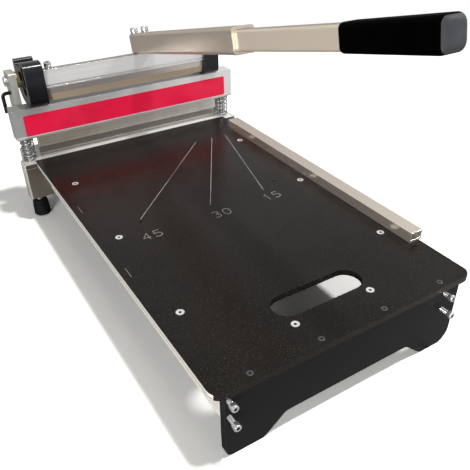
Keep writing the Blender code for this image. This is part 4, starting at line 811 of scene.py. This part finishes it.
def coil() -> GeometryTree:
    """Build the tree that winds a compression spring: close turns at both ends, an even climb between.

    Returns:
        The tree.
    """
    tree = GeometryTree("coil", {
        "Centre": "NodeSocketVector", "Radius": "NodeSocketFloat", "Wire": "NodeSocketFloat",
        "Height": "NodeSocketFloat", "End Pitch": "NodeSocketFloat", "Turns": "NodeSocketInt",
        "Steps": "NodeSocketInt", "Sides": "NodeSocketInt", "Finish": "NodeSocketMaterial"})
    turns, steps = tree.number("Turns"), tree.number("Steps")
    line = tree.node("GeometryNodeMeshLine", {"mode": "OFFSET"}, {"Count": turns * steps + 1.0}).outputs[0]
    turn = Value(tree, tree.node("GeometryNodeInputIndex").outputs[0]) / steps
    ends = tree.math("MINIMUM", turn, 1.0) + tree.math("MAXIMUM", turn - turns + 1.0, 0.0)
    middle = tree.math("MINIMUM", tree.math("MAXIMUM", turn - 1.0, 0.0), turns - 2.0)
    open_pitch = (tree.number("Height") - 2.0 * tree.number("End Pitch")) / (turns - 2.0)
    climb = tree.number("End Pitch") * ends + open_pitch * middle
    angle = turn * math.tau
    place = tree.node("ShaderNodeCombineXYZ", None, {
        "X": tree.number("Radius") * tree.math("COSINE", angle),
        "Y": tree.number("Radius") * tree.math("SINE", angle), "Z": climb}).outputs[0]
    there = tree.node("ShaderNodeVectorMath", {"operation": "ADD"}, {0: place, 1: tree.given["Centre"]}).outputs[0]
    wound = tree.node("GeometryNodeSetPosition", None, {"Geometry": line, "Position": there}).outputs[0]
    path = tree.node("GeometryNodeMeshToCurve", None, {0: wound}).outputs[0]
    wire = tree.node("GeometryNodeCurvePrimitiveCircle", None, {
        "Resolution": tree.given["Sides"], "Radius": tree.given["Wire"]}).outputs[0]
    tube = tree.node("GeometryNodeCurveToMesh", None, {"Curve": path, "Profile Curve": wire, "Fill Caps": True})
    tree.close(tube.outputs[0])
    return tree


def faces_front(face: bpy.types.MeshPolygon) -> bool:
    """Tell whether a face looks to the front."""
    return face.normal.y < -FACES_IT and abs(face.normal.x) < FACES_IT


@dataclass(frozen=True)
class Workshop:
    """What every sub-assembly works with: the finishes and the shared trees."""

    looks: dict[str, bpy.types.Material]
    row: GeometryTree
    coil: GeometryTree

    def fasteners(self, name: str, rows: Sequence[Row], start: Point, step: Point, count: int, direction: Point,
                  finish: str, seed: int = 7) -> bpy.types.Object:
        """Set a row of one fastener, whose socket is dark inside.

        Args:
            name: The piece's name.
            rows: The fastener's rings, its head up.
            start: Where the first one's own origin lies.
            step: From one to the next.
            count: How many.
            direction: Where the heads point.
            finish: The name of their finish.
            seed: The chance of their turns.

        Returns:
            The piece.
        """
        bm = bmesh.new()
        turned(bm, rows, Matrix.Identity(4))
        pattern = solid(name + "_pattern", bm, 30.0)
        tilt = Vector((0, 0, 1)).rotation_difference(Vector(direction)).to_euler()
        piece = self.row.make(name, {
            "Fastener": pattern, "Start": start, "Step": step, "Count": count, "Tilt": tuple(tilt), "Seed": seed,
            "Finish": self.looks[finish], "Recess Finish": self.looks["socket_dark"]})
        bpy.data.objects.remove(pattern)
        return piece

    def lathe(self, name: str, rows: Sequence[Row], place: Matrix, finish: str,
              smooth: float = 35.0) -> bpy.types.Object:
        """Turn one piece, whose recess is dark inside.

        Args:
            name: The piece's name.
            rows: Its rings from one end to the other.
            place: The frame whose +Z is its axis.
            finish: The name of its finish.
            smooth: The angle in degrees past which an edge stays sharp.

        Returns:
            The piece.
        """
        bm = bmesh.new()
        turned(bm, rows, place)
        piece = dress(solid(name, bm, smooth), self.looks[finish])
        if any(row.dark for row in rows):
            piece.data.materials.append(self.looks["socket_dark"])
        return piece

    def refine(self, node: str, width: float, finish: str, edge: str, segments: int = 2, bands: Sequence[Band] = (),
               chosen: Callable[[bpy.types.MeshPolygon], bool] = faces_front) -> bpy.types.Object:
        """Copy a CAD node with rounded edges in a lighter finish, partly wear and partly painted highlight. Some of
        its faces may carry level bands of other finishes.

        Args:
            node: The CAD node.
            width: The edges' width.
            finish: The name of its faces' finish.
            edge: The name of its edges' finish.
            segments: The faces across each edge.
            bands: The top of each band, from the lowest up, and the name of its finish.
            chosen: Tells whether a face carries them.

        Returns:
            The piece.
        """
        names = [finish, edge, *dict.fromkeys(name for _, name in bands)]
        piece = dress(solid(node + "_shell", merged(node, [top for top, _ in bands])),
                      *[self.looks[name] for name in names])
        for face in piece.data.polygons:
            name = next((name for top, name in bands if face.center.z < top), None)
            if name and chosen(face):
                face.material_index = names.index(name)
        return bevelled(piece, width, segments)


# ---------------------------------------------------------------- sub-assemblies


@dataclass
class WorkTable:
    """The black panel with its marks, its numbers and its screws."""

    edge: float = 0.0005
    corner: float = 0.0095
    side_bands: tuple[Band, ...] = ((-0.0069, "rail_cream"), (-0.0060, "panel_edge"), (-0.0009, "rail_cream"))
    side_lean: float = -0.8
    mitre_rear: float = 0.222
    mitre_lines: tuple[tuple[float, int, float], ...] = (
        (0.0806, 45, 0.267), (0.113, 30, 0.239), (0.140, 15, 0.218))
    edge_marks: tuple[Flat, ...] = ((-0.170, 0.1158), (-0.170, -0.0612))
    edge_mark_length: float = 0.022
    paint_gap: float = 0.0004
    mark_low: float = -0.0007
    mark_high: float = -0.0002
    mark_width: float = 0.0008
    edge_mark_width: float = 0.0005
    angles: tuple[tuple[str, float, float], ...] = (
        ("45", -0.124, -0.020), ("30", -0.017, -0.021), ("15", 0.070, -0.019))
    stroke: float = 0.0007
    stroke_low: float = 0.00002
    stroke_high: float = 0.00012
    digit_height: float = 0.016
    digit_width: float = 0.0105
    digit_pitch: float = 1.55

    def build(self, shop: Workshop) -> None:
        """Build the panel, its marks and its screws."""
        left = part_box("worktable")[0].x + self.corner
        panel = shop.refine("worktable", self.edge, "panel_black", "panel_edge", bands=self.side_bands,
                            chosen=lambda face: face.center.x < left and face.normal.x < self.side_lean)
        settle(panel, Body.BASE, "black_panel", "worktable")
        self.marks(shop)
        self.numbers(shop)
        self.screws(shop)

    def marks(self, shop: Workshop) -> None:
        """Fill the engraved lines with silver paint."""
        bm = bmesh.new()
        for start, angle, length in self.mitre_lines:
            along = Vector((-math.sin(math.radians(angle)), -math.cos(math.radians(angle))))
            first = Vector((start, self.mitre_rear)) + along * self.paint_gap
            last = first + along * (length - 2 * self.paint_gap)
            ribbon(bm, [tuple(first), tuple(last)], self.mark_width, self.mark_low, self.mark_high)
        for x, y in self.edge_marks:
            ends = [(x, y - self.paint_gap), (x, y + self.paint_gap - self.edge_mark_length)]
            ribbon(bm, ends, self.edge_mark_width, self.mark_low, self.mark_high)
        settle(dress(solid("mitre_lines", bm), shop.looks["mark_silver"]), Body.BASE, "aluminium")

    def numbers(self, shop: Workshop) -> None:
        """Draw the lines' angles in thin strokes on the panel."""
        bm = bmesh.new()
        for text, x, y in self.angles:
            for k, digit in enumerate(text):
                left = x + k * self.digit_width * self.digit_pitch
                for line in DIGITS[digit]:
                    points = [(left + u * self.digit_width, y + v * self.digit_height) for u, v in line]
                    ribbon(bm, points, self.stroke, self.stroke_low, self.stroke_high)
        settle(dress(solid("mitre_numbers", bm), shop.looks["mark_silver"]), Body.BASE, "aluminium")

    def screws(self, shop: Workshop) -> None:
        """Set the eight countersunk screws in three rows."""
        rows = [Row(0.0020, -0.0135), Row(0.0020, -0.0031), Row(0.0048, -0.0003), Row(0.0050, -0.0001),
                Row(0.0049, 0.0), Row(0.0030, 0.0), *socket(0.0019, 0.0022)]
        for place, first, count in (("left", 1, 3), ("right", 4, 3), ("front", 7, 2)):
            nodes = [f"table_screw_{first + k}" for k in range(count)]
            start, step = middle(nodes[0]), middle(nodes[1]) - middle(nodes[0])
            piece = shop.fasteners(f"table_screws_{place}", rows, (start.x, start.y, 0), (step.x, step.y, 0), count,
                                   (0, 0, 1), "screw_white")
            settle(piece, Body.BASE, "steel", *nodes)


@dataclass
class FrontLeg:
    """The black front plate, its edge screws and the bolts that stand out of it."""

    edge: float = 0.0006
    edge_screws: int = 4
    first_edge_screw: Point = (-0.1335, -0.290, 0)
    edge_screw_step: Point = (0.089, 0, 0)

    def build(self, shop: Workshop) -> None:
        """Build the plate, the edge screws and the bolts."""
        plate = shop.refine("front_leg", self.edge, "leg_black", "panel_edge")
        settle(plate, Body.BASE, "black_panel", "front_leg")
        rows = [Row(0.0022, -0.006), Row(0.0026, -0.0012), Row(0.0036, -0.0002), Row(0.0038, 0.0001),
                Row(0.0036, 0.0002), Row(0.0026, 0.0002), *socket(0.0018, 0.0016, 0.0002)]
        screws = shop.fasteners("front_edge_screws", rows, self.first_edge_screw, self.edge_screw_step,
                                self.edge_screws, (0, 0, 1), "panel_edge")
        settle(screws, Body.BASE, "black_steel")
        for side, _ in SIDES:
            nodes = [f"rail_bolt_{side}_{level}" for level in ("upper", "lower")]
            heads = [Vector((middle(node).x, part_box(node)[0].y, middle(node).z)) for node in nodes]
            piece = shop.fasteners(f"rail_bolts_{side}", self.bolt(), tuple(heads[0]), tuple(heads[1] - heads[0]),
                                   2, (0, -1, 0), "bright_steel")
            settle(piece, Body.BASE, "steel", *nodes)

    def bolt(self) -> list[Row]:
        """Draw a socket-head bolt, the face of its head at level 0.

        Returns:
            Its rings, from the tip of the thread to the floor of the socket.
        """
        return [Row(0.0024, -0.0325), *thread(0.0030, -0.032, -0.0067), Row(0.0042, -0.0065),
                Row(0.0044, -0.0062, Section.KNURL), Row(0.0044, -0.0009, Section.KNURL), Row(0.0042, -0.0006),
                Row(0.0038, 0.0), Row(0.0030, 0.0), *socket(0.0022, 0.0035)]


@dataclass
class Underframe:
    """The rails, the base beam, its end plates and the rear feet."""

    edge: float = 0.0004
    nut_top: float = -0.0623

    def build(self, shop: Workshop) -> None:
        """Build the extrusions and the feet."""
        for side, _ in SIDES:
            rail = shop.refine(f"rail_{side}", self.edge / 2, "rail_cream", "silver_edge_wear_and_highlight")
            settle(rail, Body.BASE, "aluminium", f"rail_{side}")
        # The beam's front faces below its top take a darker finish: painted shade.
        beam = shop.refine("base_beam", self.edge * 2, "bed_silver", "silver_edge_wear_and_highlight", bands=[(0.0, "beam_front_painted_shade")])
        settle(beam, Body.BASE, "aluminium", "base_beam")
        for side, _ in SIDES:
            plate = shop.refine(f"beam_end_{side}", self.edge, "end_plate", "silver_edge_wear_and_highlight")
            settle(plate, Body.BASE, "aluminium", f"beam_end_{side}")
            self.foot(shop, side)

    def foot(self, shop: Workshop, side: str) -> None:
        """Turn one rubber foot and its stud with its nut."""
        low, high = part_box(f"rear_foot_{side}")
        top, r = high.z - low.z, (high.x - low.x) / 2
        rows = [Row(0.46 * r, 0.0010), Row(0.48 * r, 0.0), Row(0.75 * r, 0.0), Row(0.92 * r, 0.0008), Row(r, 0.0030),
                Row(0.985 * r, 0.0060), Row(0.93 * r, 0.0070), Row(0.93 * r, 0.0084), Row(0.975 * r, 0.0094),
                Row(0.94 * r, 0.0190), Row(0.89 * r, 0.0200), Row(0.89 * r, 0.0212), Row(0.92 * r, 0.0222),
                Row(0.88 * r, top - 0.0020), Row(0.77 * r, top - 0.0003), Row(0.65 * r, top), Row(0.0046, top),
                Row(0.0044, top - 0.0080)]
        foot = shop.lathe(f"rubber_foot_{side}", rows, upright(f"rear_foot_{side}"), "rubber_black")
        settle(foot, Body.BASE, "rubber", f"rear_foot_{side}")
        low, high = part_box(f"foot_stud_{side}")
        nut = self.nut_top - low.z
        rows = [Row(0.0034, 0.0), *thread(0.0040, 0.0004, nut - 0.0086), Row(0.0040, nut - 0.0084),
                Row(0.0078, nut - 0.0084), Row(0.0080, nut - 0.0080), Row(0.0080, nut - 0.0068),
                Row(0.0076, nut - 0.0066), Row(0.0070, nut - 0.0066, Section.HEX),
                Row(0.0078, nut - 0.0062, Section.HEX), Row(0.0078, nut - 0.0004, Section.HEX),
                Row(0.0070, nut, Section.HEX), Row(0.0040, nut), Row(0.0040, high.z - low.z)]
        stud = shop.lathe(f"levelling_stud_{side}", rows, upright(f"foot_stud_{side}"), "bright_steel")
        settle(stud, Body.BASE, "steel", f"foot_stud_{side}")


@dataclass
class Fence:
    """The square channel along the right edge."""

    edge: float = 0.0004

    def build(self, shop: Workshop) -> None:
        """Build the channel."""
        settle(shop.refine("fence", self.edge, "fence_silver", "silver_edge_wear_and_highlight"), Body.BASE, "aluminium", "fence")


@dataclass
class Posts:
    """The uprights with their pivots and the parked hex key."""

    edge: float = 0.0005
    pivot_seat: float = 0.1893
    key_radius: float = 0.0030
    key_bend: float = 0.006
    key_edge: float = 0.0003

    def build(self, shop: Workshop) -> None:
        """Build the posts, their pivots and the key."""
        for side, sign in SIDES:
            post = shop.refine(f"post_{side}", self.edge, "post_silver", "silver_edge_wear_and_highlight")
            settle(post, Body.BASE, "aluminium", f"post_{side}")
            self.pivot(shop, side, sign)
        self.key(shop)

    def pivot(self, shop: Workshop, side: str, sign: int) -> None:
        """Turn one pivot bolt with its washer."""
        low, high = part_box(f"pivot_bolt_{side}")
        outer = high.x if sign > 0 else low.x
        centre = middle(f"pivot_bolt_{side}")
        long = abs(high.x - low.x)
        under = abs(outer - sign * self.pivot_seat)
        rows = [Row(0.0045, -long), Row(0.0050, 0.0005 - long), Row(0.0050, -under - 0.0002), Row(0.0083, -under),
                Row(0.0085, 0.0003 - under), Row(0.0085, 0.0012 - under), Row(0.0083, 0.0014 - under),
                Row(0.0074, 0.0014 - under), Row(0.0074, 0.0020 - under, Section.HEX),
                Row(0.0078, 0.0022 - under, Section.HEX), Row(0.0078, -0.0006, Section.HEX), Row(0.0070, 0.0),
                Row(0.0044, 0.0), *socket(0.0034, 0.0030)]
        place = towards((outer, centre.y, centre.z), (sign, 0, 0))
        settle(shop.lathe(f"pivot_screw_{side}", rows, place, "bright_steel", 30.0), Body.BASE, "steel",
               f"pivot_bolt_{side}")

    def key(self, shop: Workshop) -> None:
        """Bend the hex key from its hole in the left post."""
        low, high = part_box("hex_key")
        y, r, bend = (low.y + high.y) / 2, self.key_radius, self.key_bend
        z, x = high.z - r, low.x + r
        route = [(high.x, z), (high.x - 0.004, z), (x + bend, z)]
        route += [(x + bend * (1 - math.sin(a)), z - bend * (1 - math.cos(a)))
                  for a in (math.pi / 2 * k / 8 for k in range(1, 8))]
        route += [(x, z - bend), (x, low.z + 0.0005), (x, low.z)]
        rings = []
        for i, (px, pz) in enumerate(route):
            near, far = route[max(i - 1, 0)], route[min(i + 1, len(route) - 1)]
            along = Vector((far[0] - near[0], 0, far[1] - near[1])).normalized()
            across = Vector((along.z, 0, -along.x))
            reach = r * (0.86 if i in (0, len(route) - 1) else 1.0)
            rings.append([Vector((px, y, pz)) + (across * math.cos(a) + Vector((0, 1, 0)) * math.sin(a)) * reach
                          for a in (math.tau * k / 6 for k in range(6))])
        bm = bmesh.new()
        skin(bm, rings)
        key = dress(solid("parked_key", bm), shop.looks["black_oxide"], shop.looks["cheek_edge"])
        settle(bevelled(key, self.key_edge), Body.BASE, "black_steel", "hex_key")


@dataclass
class BladeCarrier:
    """The carrier bar with its label, the blade, the clamp bar and its springs and guides."""

    edge: float = 0.0006
    label_edge: float = 0.0001
    # The carrier lip's front: the clamp's grey, with a painted highlight line above it.
    lip_highlight_bands: tuple[Band, ...] = ((0.0424, "clamp_grey"), (0.0445, "clamp_painted_highlight"))
    # The clamp bar's front, from its foot up: painted brown shade, painted shade and painted highlight lines, then its
    # grey.
    clamp_light_and_shade_bands: tuple[Band, ...] = (
        (-0.0145, "clamp_painted_brown_shade"), (-0.0133, "clamp_painted_shade"), (-0.0118, "clamp_painted_highlight"), (-0.0085, "clamp_painted_shade"),
        (-0.0070, "clamp_painted_highlight"), (0.0, "clamp_grey"))
    spring_radius: float = 0.0098
    wire: float = 0.0012
    turns: int = 6
    end_pitch: float = 0.0030
    steps: int = 28
    sides: int = 12

    def build(self, shop: Workshop) -> None:
        """Build the carrier's pieces and what guides it."""
        carrier = shop.refine("blade_carrier", self.edge, "carrier_silver_painted_light", "silver_edge_wear_and_highlight", bands=self.lip_highlight_bands)
        settle(carrier, Body.CARRIER, "aluminium", "blade_carrier")
        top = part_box("blade_clamp_bar")[1].z
        clamp = shop.refine("blade_clamp_bar", self.edge / 2, "clamp_grey", "silver_edge_wear_and_highlight",
                            bands=[(top + under, finish) for under, finish in self.clamp_light_and_shade_bands])
        settle(clamp, Body.CARRIER, "aluminium", "blade_clamp_bar")
        blade = shop.refine("cutting_blade", self.edge / 4, "blade_ground", "silver_edge_wear_and_highlight")
        settle(blade, Body.CARRIER, "blade_steel", "cutting_blade")
        label = shop.refine("label_plate", self.label_edge, "label_red", "label_red")
        settle(label, Body.CARRIER, "red_label", "label_plate")
        self.screws(shop)
        for side, _ in SIDES:
            self.guide(shop, side)
            self.spring(shop, side)

    def screws(self, shop: Workshop) -> None:
        """Set the three blade screws in the carrier's back."""
        nodes = [f"blade_screw_{k}" for k in (1, 2, 3)]
        low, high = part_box(nodes[0])
        start, long = middle(nodes[0]), high.y - low.y
        rows = [Row(0.0022, -long), Row(0.0025, 0.0004 - long), Row(0.0025, -0.0035), Row(0.0044, -0.0034),
                Row(0.0045, -0.0031), Row(0.0045, -0.0018), Row(0.0040, -0.0007), Row(0.0030, 0.0),
                Row(0.0022, 0.0), *socket(0.0016, 0.0018)]
        piece = shop.fasteners("blade_screws", rows, (start.x, high.y, start.z),
                               (middle(nodes[1]).x - start.x, 0, 0), len(nodes), (0, 1, 0), "bright_steel")
        settle(piece, Body.CARRIER, "steel", *nodes)

    def guide(self, shop: Workshop, side: str) -> None:
        """Turn one guide rod."""
        node = f"guide_rod_{side}"
        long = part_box(node)[1].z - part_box(node)[0].z
        rows = [Row(0.0052, 0.0), Row(0.0060, 0.0008), Row(0.0060, long - 0.0010), Row(0.0050, long)]
        settle(shop.lathe(f"guide_pin_{side}", rows, upright(node), "bright_steel"), Body.BASE, "steel", node)

    def spring(self, shop: Workshop, side: str) -> None:
        """Wind one return spring, which stretches from the beam to the carrier."""
        low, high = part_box(f"return_spring_{side}")
        x, y, _ = middle(f"guide_rod_{side}")
        piece = shop.coil.make(f"coil_spring_{side}", {
            "Centre": (x, y, low.z + self.wire), "Radius": self.spring_radius, "Wire": self.wire,
            "Height": high.z - low.z - 2 * self.wire, "End Pitch": self.end_pitch, "Turns": self.turns,
            "Steps": self.steps, "Sides": self.sides, "Finish": shop.looks["spring_steel"]})
        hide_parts(f"return_spring_{side}")
        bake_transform(piece)
        LOG.info("%s stretches between base and carrier", piece.name)


@dataclass
class CamGroup:
    """The cam cheeks, the cam tube and its set screws."""

    edge: float = 0.0007
    tube_edge: float = 0.0003
    band: float = 0.1060
    ridge: float = 0.1155
    lean: float = 0.0030
    fold: float = 0.004
    front: float = 0.006

    def build(self, shop: Workshop) -> None:
        """Build the cam's pieces."""
        settle(self.tube(shop), Body.CAM, "aluminium", "cam_tube")
        for side, _ in SIDES:
            node = f"cam_cheek_{side}"
            settle(shop.refine(node, self.edge, "cheek_black", "cheek_edge", 3), Body.CAM, "black_plastic", node)
            self.set_screw(shop, side)

    def tube(self, shop: Workshop) -> bpy.types.Object:
        """Copy the cam tube, with its lower front split into two bands that lean apart, and paint shade and reflection
        on its faces in copies of one finish.
        """
        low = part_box("cam_tube")[0].z + 0.0005
        bm = merged("cam_tube", [self.band])
        front = min(vertex.co.y for vertex in bm.verts if abs(vertex.co.z - self.band) < 0.0001)
        for vertex in bm.verts:
            if vertex.co.z < low and vertex.co.y < front + self.fold:
                vertex.co.y += self.lean
        names = ["silver", "silver_edge_wear_and_highlight", "tube_lower_painted_shade", "tube_middle_painted_reflection", "tube_face_painted_reflection", "tube_top_painted_reflection"]
        piece = dress(solid("cam_tube_shell", bm), *[shop.looks[name] for name in names])
        # Painted reflection on the top, the upper front face and the middle band; painted shade on the lower band.
        for face in piece.data.polygons:
            if abs(face.normal.x) >= 0.5:
                continue
            if face.normal.z > 0.5:
                face.material_index = names.index("tube_top_painted_reflection")
            elif face.normal.y < -0.5 and face.center.y < front + self.front:
                level = face.center.z
                name = "tube_lower_painted_shade" if level < self.band else "tube_middle_painted_reflection" if level < self.ridge else "tube_face_painted_reflection"
                face.material_index = names.index(name)
        return bevelled(piece, self.tube_edge)

    def set_screw(self, shop: Workshop, side: str) -> None:
        """Turn one set screw with its knurled head and its socket."""
        node = f"cam_set_screw_{side}"
        up = Vector((0, -math.sin(LEVER_SLOPE), math.cos(LEVER_SLOPE)))
        levels = [vertex.co.dot(up) for vertex in frame["nodes"][node].data.vertices]
        centre, long = middle(node), max(levels) - min(levels)
        rows = [Row(0.0022, -long), Row(0.0025, 0.0004 - long), Row(0.0025, -0.0090), Row(0.0052, -0.0088),
                Row(0.0055, -0.0084, Section.KNURL), Row(0.0055, -0.0012, Section.KNURL), Row(0.0050, -0.0002),
                Row(0.0042, 0.0), Row(0.0030, 0.0), *socket(0.0024, 0.0035)]
        place = towards(tuple(centre + up * (max(levels) - centre.dot(up))), tuple(up))
        settle(shop.lathe(f"set_screw_{side}", rows, place, "bright_steel", 30.0), Body.CAM, "steel", node)


@dataclass
class Lever:
    """The lever arm, its collar and bolts, the sliding inner tube and the grip."""

    root: Point = (0.035, 0.3183, 0.13973)
    edge: float = 0.0003
    tube: float = 0.032
    bolt_side: float = 0.0095
    bolt_ahead: float = 0.010
    bolt_head: float = 0.0093
    grip_start: float = 0.5363
    grip_side: float = 0.0285
    grip_straight: float = 0.1170
    grip_dome: float = 0.0088
    grip_swell: float = 0.0011
    grip_round_off: float = 0.0066
    grip_end_painted_sheen: float = 0.6588
    ring_steps: int = 12
    dome_steps: int = 8

    def build(self, shop: Workshop) -> None:
        """Build the lever and the handle."""
        arm = self.top_painted_shade(shop, shop.refine("lever_arm", self.edge, "champagne", "champagne_edge"))
        settle(arm, Body.CAM, "champagne_aluminium", "lever_arm")
        collar = shop.refine("lever_collar", self.edge, "champagne_edge", "silver_edge_wear_and_highlight")
        settle(collar, Body.CAM, "aluminium", "lever_collar")
        inner = self.top_painted_shade(shop, shop.refine("lever_extension", self.edge, "champagne_pale", "champagne_edge"))
        settle(inner, Body.EXTENSION, "champagne_aluminium", "lever_extension")
        self.bolts(shop)
        self.grip(shop)

    def top_painted_shade(self, shop: Workshop, tube: bpy.types.Object) -> bpy.types.Object:
        """Paint shade on a tube's upper face: it takes a darker copy of the champagne finish."""
        tube.data.materials.append(shop.looks["champagne_top_painted_shade"])
        up = self.line(0, 0, 1) - self.line(0, 0, 0)
        for face in tube.data.polygons:
            if face.normal.dot(up) > 0.9:
                face.material_index = 2
        return tube

    def line(self, x: float, forward: float, up: float) -> Vector:
        """Turn a place in the lever's own line, measured from its root, into the frame."""
        return Vector(self.root) + Matrix.Rotation(-LEVER_SLOPE, 3, "X") @ Vector((x, -forward, up))

    def bolts(self, shop: Workshop) -> None:
        """Set the two root bolts."""
        rows = [Row(0.0026, -0.048), Row(0.0030, -0.0475), Row(0.0030, -0.0092), Row(0.0058, -0.0090),
                Row(0.0060, -0.0086, Section.KNURL), Row(0.0060, -0.0012, Section.KNURL), Row(0.0057, -0.0006),
                Row(0.0052, 0.0), Row(0.0042, 0.0), *socket(0.0034, 0.0045)]
        start = self.line(-self.bolt_side, self.bolt_ahead, self.tube + self.bolt_head)
        up = self.line(0, 0, 1) - self.line(0, 0, 0)
        piece = shop.fasteners("lever_bolts", rows, tuple(start), (2 * self.bolt_side, 0, 0), 2, tuple(up),
                               "bright_steel")
        settle(piece, Body.CAM, "steel", "lever_bolt_left", "lever_bolt_right")

    def grip(self, shop: Workshop) -> None:
        """Mould the soft grip: a rounded square that swells to a full end."""
        stations = [(0.0000, -0.0030, 0.0040), (0.0006, -0.0016, 0.0050), (0.0020, -0.0004, 0.0060),
                    (0.0042, 0.0000, 0.0062)]
        first = stations[-1][0]
        stations += [(first + (self.grip_straight - first) * k / self.ring_steps,
                      self.grip_swell * k / self.ring_steps, 0.0062) for k in range(1, self.ring_steps + 1)]
        stations += [(self.grip_straight + self.grip_dome * math.sin(a),
                      self.grip_swell - self.grip_round_off * (1 - math.cos(a)), 0.0064)
                     for a in (math.pi / 2 * k / self.dome_steps for k in range(1, self.dome_steps + 1))]
        rings = []
        for along, grow, radius in stations:
            size = self.grip_side + 2 * grow
            outline = rounded_box(size, size, min(radius, size / 2.2))
            rings.append([self.line(u, self.grip_start + along, self.tube / 2 + v) for u, v in outline])
        bm = bmesh.new()
        skin(bm, rings)
        piece = dress(solid("soft_grip", bm, 50.0), shop.looks["grip_black"], shop.looks["grip_end_painted_sheen"])
        # The end faces take a greyer finish: painted sheen.
        ahead = self.line(0, 1, 0) - self.line(0, 0, 0)
        limit = self.line(0, self.grip_end_painted_sheen, self.tube / 2).dot(ahead)
        for face in piece.data.polygons:
            face.material_index = int(face.center.dot(ahead) > limit)
        settle(piece, Body.EXTENSION, "grip_foam", "grip")


@dataclass(frozen=True)
class Lamp:
    """One soft square lamp: its place, its side and its power in watts."""

    name: str
    place: Point
    size: float
    power: float


@dataclass
class Studio:
    """The floor, the lamps, the world and the camera."""

    floor: float = -0.1039
    floor_reach: float = 9.0
    floor_tone: Colour = (0.30, 0.30, 0.29)
    floor_white: Colour = (1.62, 1.61, 1.57)
    floor_mirrored: float = 0.12
    shadow_reach: float = 0.9
    shadow_end: float = 1.53
    fill: float = 0.125
    mirrored: float = 0.45
    lamps: tuple[Lamp, ...] = (
        Lamp("overhead", (0.52, -0.57, 3.0), 0.18, 42.0), Lamp("side", (2.1, -0.45, 2.06), 0.30, 46.0),
        Lamp("front", (-2.2, -2.3, 0.62), 1.0, 80.0))
    place: Point = (-0.3419, -0.6175, 0.4165)
    yaw: float = 0.5654
    pitch: float = 0.6007
    roll: float = -0.0042
    lens: float = 43.54
    shift: Flat = (-0.0296, 0.0235)

    def build(self) -> None:
        """Set the stage."""
        self.camera()
        self.ground()
        for lamp in self.lamps:
            self.hang(lamp)
        self.world()
        bpy.context.scene.view_settings.view_transform = "Standard"

    def camera(self) -> None:
        """Place the camera as fitted to the photograph."""
        data = bpy.data.cameras.new("camera")
        data.sensor_width = 36.0
        data.lens = self.lens
        data.shift_x, data.shift_y = self.shift
        data.clip_start, data.clip_end = 0.01, 60.0
        obj = bpy.data.objects.new("camera", data)
        obj.location = self.place
        turn = Euler((math.pi / 2 - self.pitch, 0, -self.yaw), "XYZ").to_matrix() @ Matrix.Rotation(self.roll, 3, "Z")
        obj.rotation_euler = turn.to_euler()
        bpy.context.scene.collection.objects.link(obj)
        bpy.context.scene.camera = obj

    def ground(self) -> None:
        """Lay the white floor, which keeps the object's shadow and is bare white far from it."""
        bm = bmesh.new()
        bm.faces.new([bm.verts.new((x * self.floor_reach, y * self.floor_reach, self.floor))
                      for x, y in ((-1, -1), (1, -1), (1, 1), (-1, 1))])
        mat = bpy.data.materials.new("floor_white")
        graph = emptied(mat)
        background = graph.background_ray()
        seen = (background + self.floor_mirrored * graph.ray("Glossy")).within(0.0, 1.0)
        white = graph.mix(seen, self.floor_tone, self.floor_white)
        paint = graph.node("ShaderNodeBsdfDiffuse", None, {"Color": white}).outputs[0]
        place = graph.node("ShaderNodeTexCoord").outputs["Object"]
        away = graph.node("ShaderNodeVectorMath", {"operation": "LENGTH"}, {0: place}).outputs["Value"]
        bare = graph.ramp(Value(graph, away), self.shadow_reach, self.shadow_end) * background
        glow = graph.node("ShaderNodeEmission", None, {"Color": (1, 1, 1, 1), "Strength": 1.0}).outputs[0]
        surface = graph.node("ShaderNodeMixShader", None, {0: bare, 1: paint, 2: glow}).outputs[0]
        graph.node("ShaderNodeOutputMaterial", None, {"Surface": surface})
        dress(solid("floor", bm), mat)

    def hang(self, lamp: Lamp) -> None:
        """Hang one lamp so that it faces the work table."""
        data = bpy.data.lights.new(lamp.name, "AREA")
        data.size = lamp.size
        data.energy = lamp.power
        obj = bpy.data.objects.new(lamp.name, data)
        obj.location = lamp.place
        obj.rotation_euler = (-Vector(lamp.place)).to_track_quat("-Z", "Y").to_euler()
        bpy.context.scene.collection.objects.link(obj)

    def world(self) -> None:
        """Light the scene evenly, with a white background for the camera and for reflections."""
        world = bpy.data.worlds.new("studio")
        graph = emptied(world)
        strength = self.fill + (1 - self.fill) * graph.background_ray() + self.mirrored * graph.ray("Glossy")
        sky = graph.node("ShaderNodeBackground", None, {"Color": (1, 1, 1, 1), "Strength": strength})
        graph.node("ShaderNodeOutputWorld", None, {"Surface": sky.outputs[0]})
        bpy.context.scene.world = world


# ---------------------------------------------------------------- the whole


def dress_nodes(looks: dict[str, bpy.types.Material]) -> None:
    """Give every CAD node its finish, the hidden ones too."""
    by_slot = {"black_panel": "panel_black", "aluminium": "silver", "champagne_aluminium": "champagne",
               "steel": "bright_steel", "blade_steel": "blade_ground", "black_steel": "black_oxide",
               "black_plastic": "cheek_black", "rubber": "rubber_black", "brass": "brass",
               "red_label": "label_red", "grip_foam": "grip_black"}
    slots = {part["node"]: part["material_slot"] for part in frame["record"]["subparts"]}
    for node, obj in frame["nodes"].items():
        finish = looks[by_slot[slots[node]]]
        if not obj.material_slots:
            obj.data.materials.append(finish)
        for slot in obj.material_slots:
            slot.material = finish


def main() -> None:
    """Build the looks in order."""
    logging.basicConfig(level=logging.INFO, format="%(message)s")
    looks = Looks().build()
    shop = Workshop(looks, fastener_row(), coil())
    Studio().build()
    dress_nodes(looks)
    for part in (WorkTable(), FrontLeg(), Underframe(), Fence(), Posts(), BladeCarrier(), CamGroup(), Lever()):
        LOG.info("%s", type(part).__name__)
        part.build(shop)


if __name__ == "__main__":
    main()
